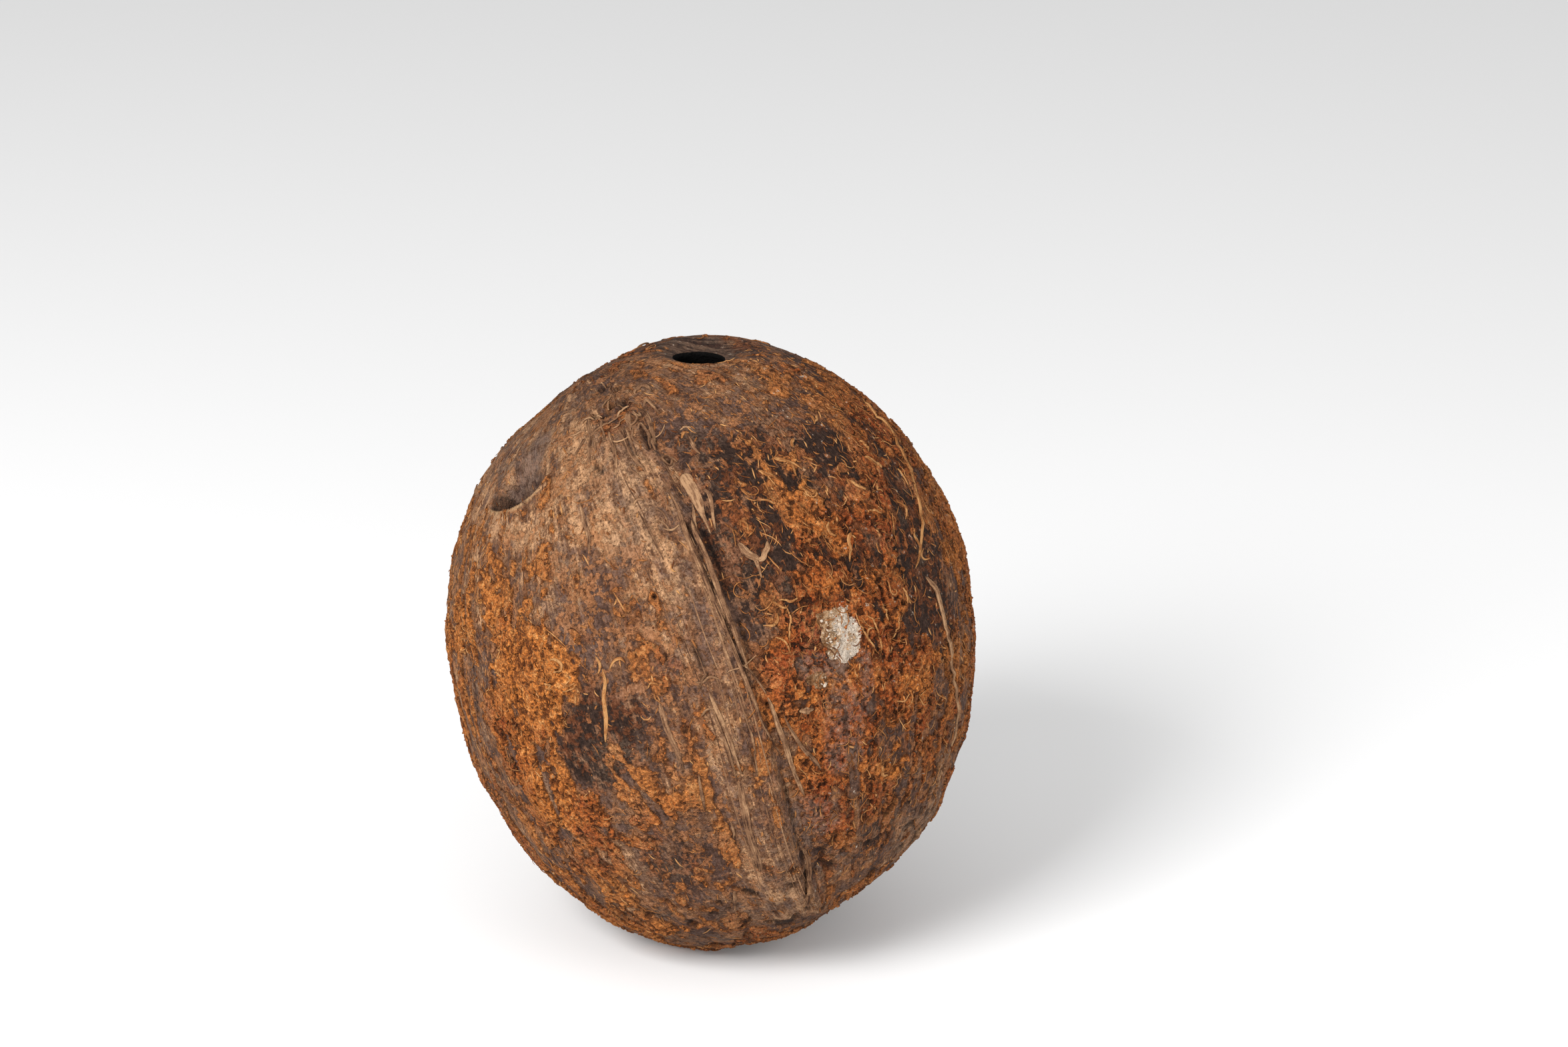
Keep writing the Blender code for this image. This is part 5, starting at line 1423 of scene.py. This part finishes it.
def strands(name, seed, rows, material, slim=1.0):
    """Flat strands, each one solid with grooves along it, its ends pressed down into what it lies on."""
    draw = np.random.default_rng(seed)
    shape = rod(STRAND_RINGS, STRAND_SIDES)
    across = shape.points[:, 0]
    shape.points[:, 1] *= 1.0 + 0.30 * np.cos(9.0 * across)
    share = np.linspace(0.0, 1.0, STRAND_RINGS)
    ways, wide, high, lift, shade = [], [], [], [], []
    for route, widths, thick, pale in rows:
        knots = route_points(route)
        spots = share * (len(knots) - 1)
        places = [np.interp(spots, np.arange(len(knots)), knots[:, axis]) for axis in (0, 1)]
        way = ways_to(*places)
        side = np.cross(np.gradient(way, axis=0), way)
        side /= np.linalg.norm(side, axis=1)[:, None]
        waver = sum(
            draw.normal(0.0, 0.06) * np.sin(share * turns + draw.uniform(0.0, 6.3)) for turns in (6, 13)
        )
        way = way + side * (waver * np.mean(widths) * MM / GIRTH_RADIUS)[:, None]
        ways.append(way / np.linalg.norm(way, axis=1)[:, None])
        width = np.interp(share, np.linspace(0.0, 1.0, len(widths)), widths) * slim * MM
        ends = np.sqrt(np.clip(1.0 - np.abs(2.0 * share - 1.0) ** 8, 0.02, 1.0))
        swell = 1.0 + 0.08 * np.sin(share * draw.uniform(6, 16) + draw.uniform(0, 6))
        wide.append(0.5 * width * ends * swell)
        high.append(0.5 * thick * slim * MM * ends)
        lift.append((0.26 * ends - 0.30 * (1.0 - ends)) * thick * slim * MM)
        shade.append(pale - 0.15)
    ways, wide, high, lift = (np.stack(values) for values in (ways, wide, high, lift))
    points, _ = surface(ways.reshape(-1, 3), lift.ravel())
    centres = points.reshape(ways.shape)
    swept = sweep(shape, centres, ways, wide, high)
    piece = join_copies(name, shape, swept, material, "husk_fibre", shade=np.array(shade))
    steps = np.linalg.norm(np.diff(centres, axis=1, prepend=centres[:, :1]), axis=-1)
    ring = np.round(shape.points[:, 2]).astype(int)
    along = 0.08 * np.cumsum(steps, axis=1)[:, ring] / MM
    copy = np.broadcast_to(3.7 * np.arange(len(ways))[:, None], along.shape)
    grain = np.stack([across * wide[:, ring] / MM, along, copy], -1)
    put_attribute(piece.data, "grain", grain.reshape(-1, 3))


# Loose fibres: seed, count, rings, density, length (two of a gamma draw, and its limits) and thickness in
# millimetres, how far off the meridians they start, how they bend and waver, how high their humps are and
# what share has a free end, how flat, how many sides, and how pale
LOOSE_FIBRES = {
    "curly_fibres": (
        103, 1200, 10, curly_density, (4.0, 0.85), (1.4, 7.0), (0.13, 0.27), 0.7, (150.0, 200.0),
        (0.28 * MM, 0.35), 0.75, 6, (0.40, 0.25),
    ),
    "short_fibres": (
        104, 4200, 4, dash_density, (3.0, 0.42), (0.5, 2.8), (0.20, 0.46), 0.5, (260.0, 220.0),
        (0.10 * MM, 0.2), 0.5, 5, (0.42, 0.30),
    ),
}


def loose_fibres(name, material):
    """Fibres that start all over the nut, as thick as a cover's density puts them, and wander off."""
    seed, count, rings, density, spread, limits, thickness, turn, bends, hump, flat, sides, tone = (
        LOOSE_FIBRES[name]
    )
    draw = np.random.default_rng(seed)
    starts = scatter(draw, count, density)
    count = len(starts)
    lengths = draw.gamma(*spread, count).clip(*limits) * MM
    ways = wander(draw, starts, draw.normal(0.0, turn, count), lengths, rings - 1, *bends)
    thick = draw.uniform(*thickness, count) * MM
    lift = lifts(draw, count, rings, *hump) - SUNK
    lay_fibres(name, draw, ways, thick, lift, flat, material, sides, tone)


def stem_tangle(material):
    """Rings and loops of pale fibre where each ridge starts, below the stem end."""
    draw = np.random.default_rng(105)
    rings = 16
    starts = []
    for turn in ridge_turns():
        angle, azimuth = draw.uniform(16.0, 46.0, 20), turn + draw.normal(3.0, 5.0, 20)
        starts.append(ways_to(angle, azimuth))
    starts = np.concatenate(starts)
    count = len(starts)
    lengths = draw.uniform(2.0, 5.0, count) * MM
    ways = wander(draw, starts, draw.uniform(-3.1, 3.1, count), lengths, rings - 1, 260.0, 220.0)
    thick = draw.uniform(0.22, 0.50, count) * MM
    lift = 0.02 * MM + lifts(draw, count, rings, 0.35 * MM, 0.2)
    lay_fibres("stem_tangle", draw, ways, thick, lift, 0.8, material, 6, (0.55, 0.25))


def crumbs(name, seed, count, density, sizes, material, slot, tone, near=None, sunk=-0.1):
    """Rough lumps that cling where a cover's density puts them."""
    draw = np.random.default_rng(seed)
    ways = scatter(draw, count, density, near)
    count = len(ways)
    size = np.exp(draw.normal(math.log(sizes[0]), sizes[1], count))
    shape = crumb()
    spin = np.linalg.qr(draw.normal(size=(count, 3, 3)))[0]
    axes = size[:, None] * draw.uniform(0.5, 1.6, (count, 3))
    local = shape.points[None] * (1.0 + draw.normal(0.0, 0.3, (count, len(shape.points), 1)))
    local = np.einsum("cij,cpj->cpi", spin, local * axes[:, None])
    centres, cover = surface(ways, sunk * size)
    points = centres[:, None] + local
    shade = np.clip(draw.normal(*tone, count), -0.2, 1.3)
    join_copies(name, shape, points, material, slot, shade=shade, rust=cover.rust)


# Pith crumbs: name, seed, and the azimuths that they lie between
PITH_CRUMBS = (("left", 111, -90, 0), ("right", 112, 0, 90), ("back", 113, 90, 270))
CRUMB_COUNT, LUMP_COUNT = 2600, 260
# The middle and the spread of their sizes
CRUMB_SIZES, LUMP_SIZES = (0.11 * MM, 0.40), (0.22 * MM, 0.35)
MOULD_AREA = ((91, 24), 6 * MM)


def pith_density(cover):
    return smooth(cover.pith, -0.15, 0.15)


def part_of(density, low, high):
    """A density kept between two azimuths."""
    def kept(cover):
        return density(cover) * (((cover.azimuth - low) % 360.0) < high - low)
    return kept


def mould_density(cover):
    return 0.98 * smooth(mould_amount(cover.ways), 0.45, 0.6)


def camera():
    right = Vector((1.0, 0.0, 0.0))
    up = Vector((0.0, math.sin(VIEW_DOWN), math.cos(VIEW_DOWN)))
    ahead = Vector((0.0, math.cos(VIEW_DOWN), -math.sin(VIEW_DOWN)))
    data = bpy.data.cameras.new("camera")
    data.sensor_width, data.lens = SENSOR, LENS
    made = bpy.data.objects.new("camera", data)
    bpy.context.scene.collection.objects.link(made)
    made.location = Vector(CENTRE) + VIEW_ASIDE * right + VIEW_UP * up - VIEW_DISTANCE * ahead
    made.rotation_euler = (math.pi / 2 - VIEW_DOWN, 0.0, 0.0)
    bpy.context.scene.camera = made


def area_light(name, place, size, watts):
    """A soft lamp that faces the nut."""
    data = bpy.data.lights.new(name, "AREA")
    data.energy, data.size = watts, size
    lamp = bpy.data.objects.new(name, data)
    bpy.context.scene.collection.objects.link(lamp)
    lamp.location = place
    lamp.rotation_euler = (Vector(CENTRE) - Vector(place)).to_track_quat("-Z", "Y").to_euler()


# The lamps: name, place, size and watts
LAMPS = (
    ("key", (-0.55, -0.75, 0.75), 0.50, 16.0),
    ("fill", (0.80, -0.60, 0.45), 0.80, 4.0),
    ("low", (0.15, -1.00, 0.10), 0.70, 5.2),
)
SKY_STRENGTH, FLOOR_SIZE, FLOOR_COLOUR = 0.68, 6.0, (0.80, 0.80, 0.80, 1.0)


def studio():
    """A pale floor and soft light from the upper left."""
    bm = bmesh.new()
    bmesh.ops.create_grid(bm, x_segments=1, y_segments=1, size=FLOOR_SIZE)
    mesh = bpy.data.meshes.new("floor")
    bm.to_mesh(mesh)
    bm.free()
    floor = link("floor", mesh)
    paint = Paint("floor")
    mesh.materials.append(paint.finish(FLOOR_COLOUR, 0.9))
    for lamp in LAMPS:
        area_light(*lamp)
    world = bpy.data.worlds.new("studio")
    world.use_nodes = True
    sky = world.node_tree.nodes["Background"]
    sky.inputs["Color"].default_value = (1.0, 1.0, 1.0, 1.0)
    sky.inputs["Strength"].default_value = SKY_STRENGTH
    bpy.context.scene.world = world
    bpy.context.scene.view_settings.view_transform = "Standard"


camera()
studio()
body = shell_body()
body.data.materials.clear()
body.data.materials.append(shell_material())
crust_pieces(crust_material())
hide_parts("coconut")
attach(body, "root")

fibre = fibre_material("husk_fibre", (FIBRE_DARK, FIBRE_MID, FIBRE_PALE))
seam = fibre_material("seam_fibre", (SEAM_DARK, SEAM_MID, SEAM_PALE))
band_fibres(seam)
strands("seam_strands", 102, seam_strands(), seam)
strands("husk_curls", 106, pith_strands(), fibre, 0.72)
for name in LOOSE_FIBRES:
    loose_fibres(name, fibre)
stem_tangle(seam)
pith = crumb_material()
for name, seed, low, high in PITH_CRUMBS:
    density = part_of(pith_density, low, high)
    crumbs(f"pith_crumbs_{name}", seed, CRUMB_COUNT, density, CRUMB_SIZES, pith, "pith", (0.28, 0.22))
crumbs(
    "mould_lumps", 114, LUMP_COUNT, mould_density, LUMP_SIZES, mould_material(), "mould", (0.6, 0.2),
    MOULD_AREA, -0.85,
)
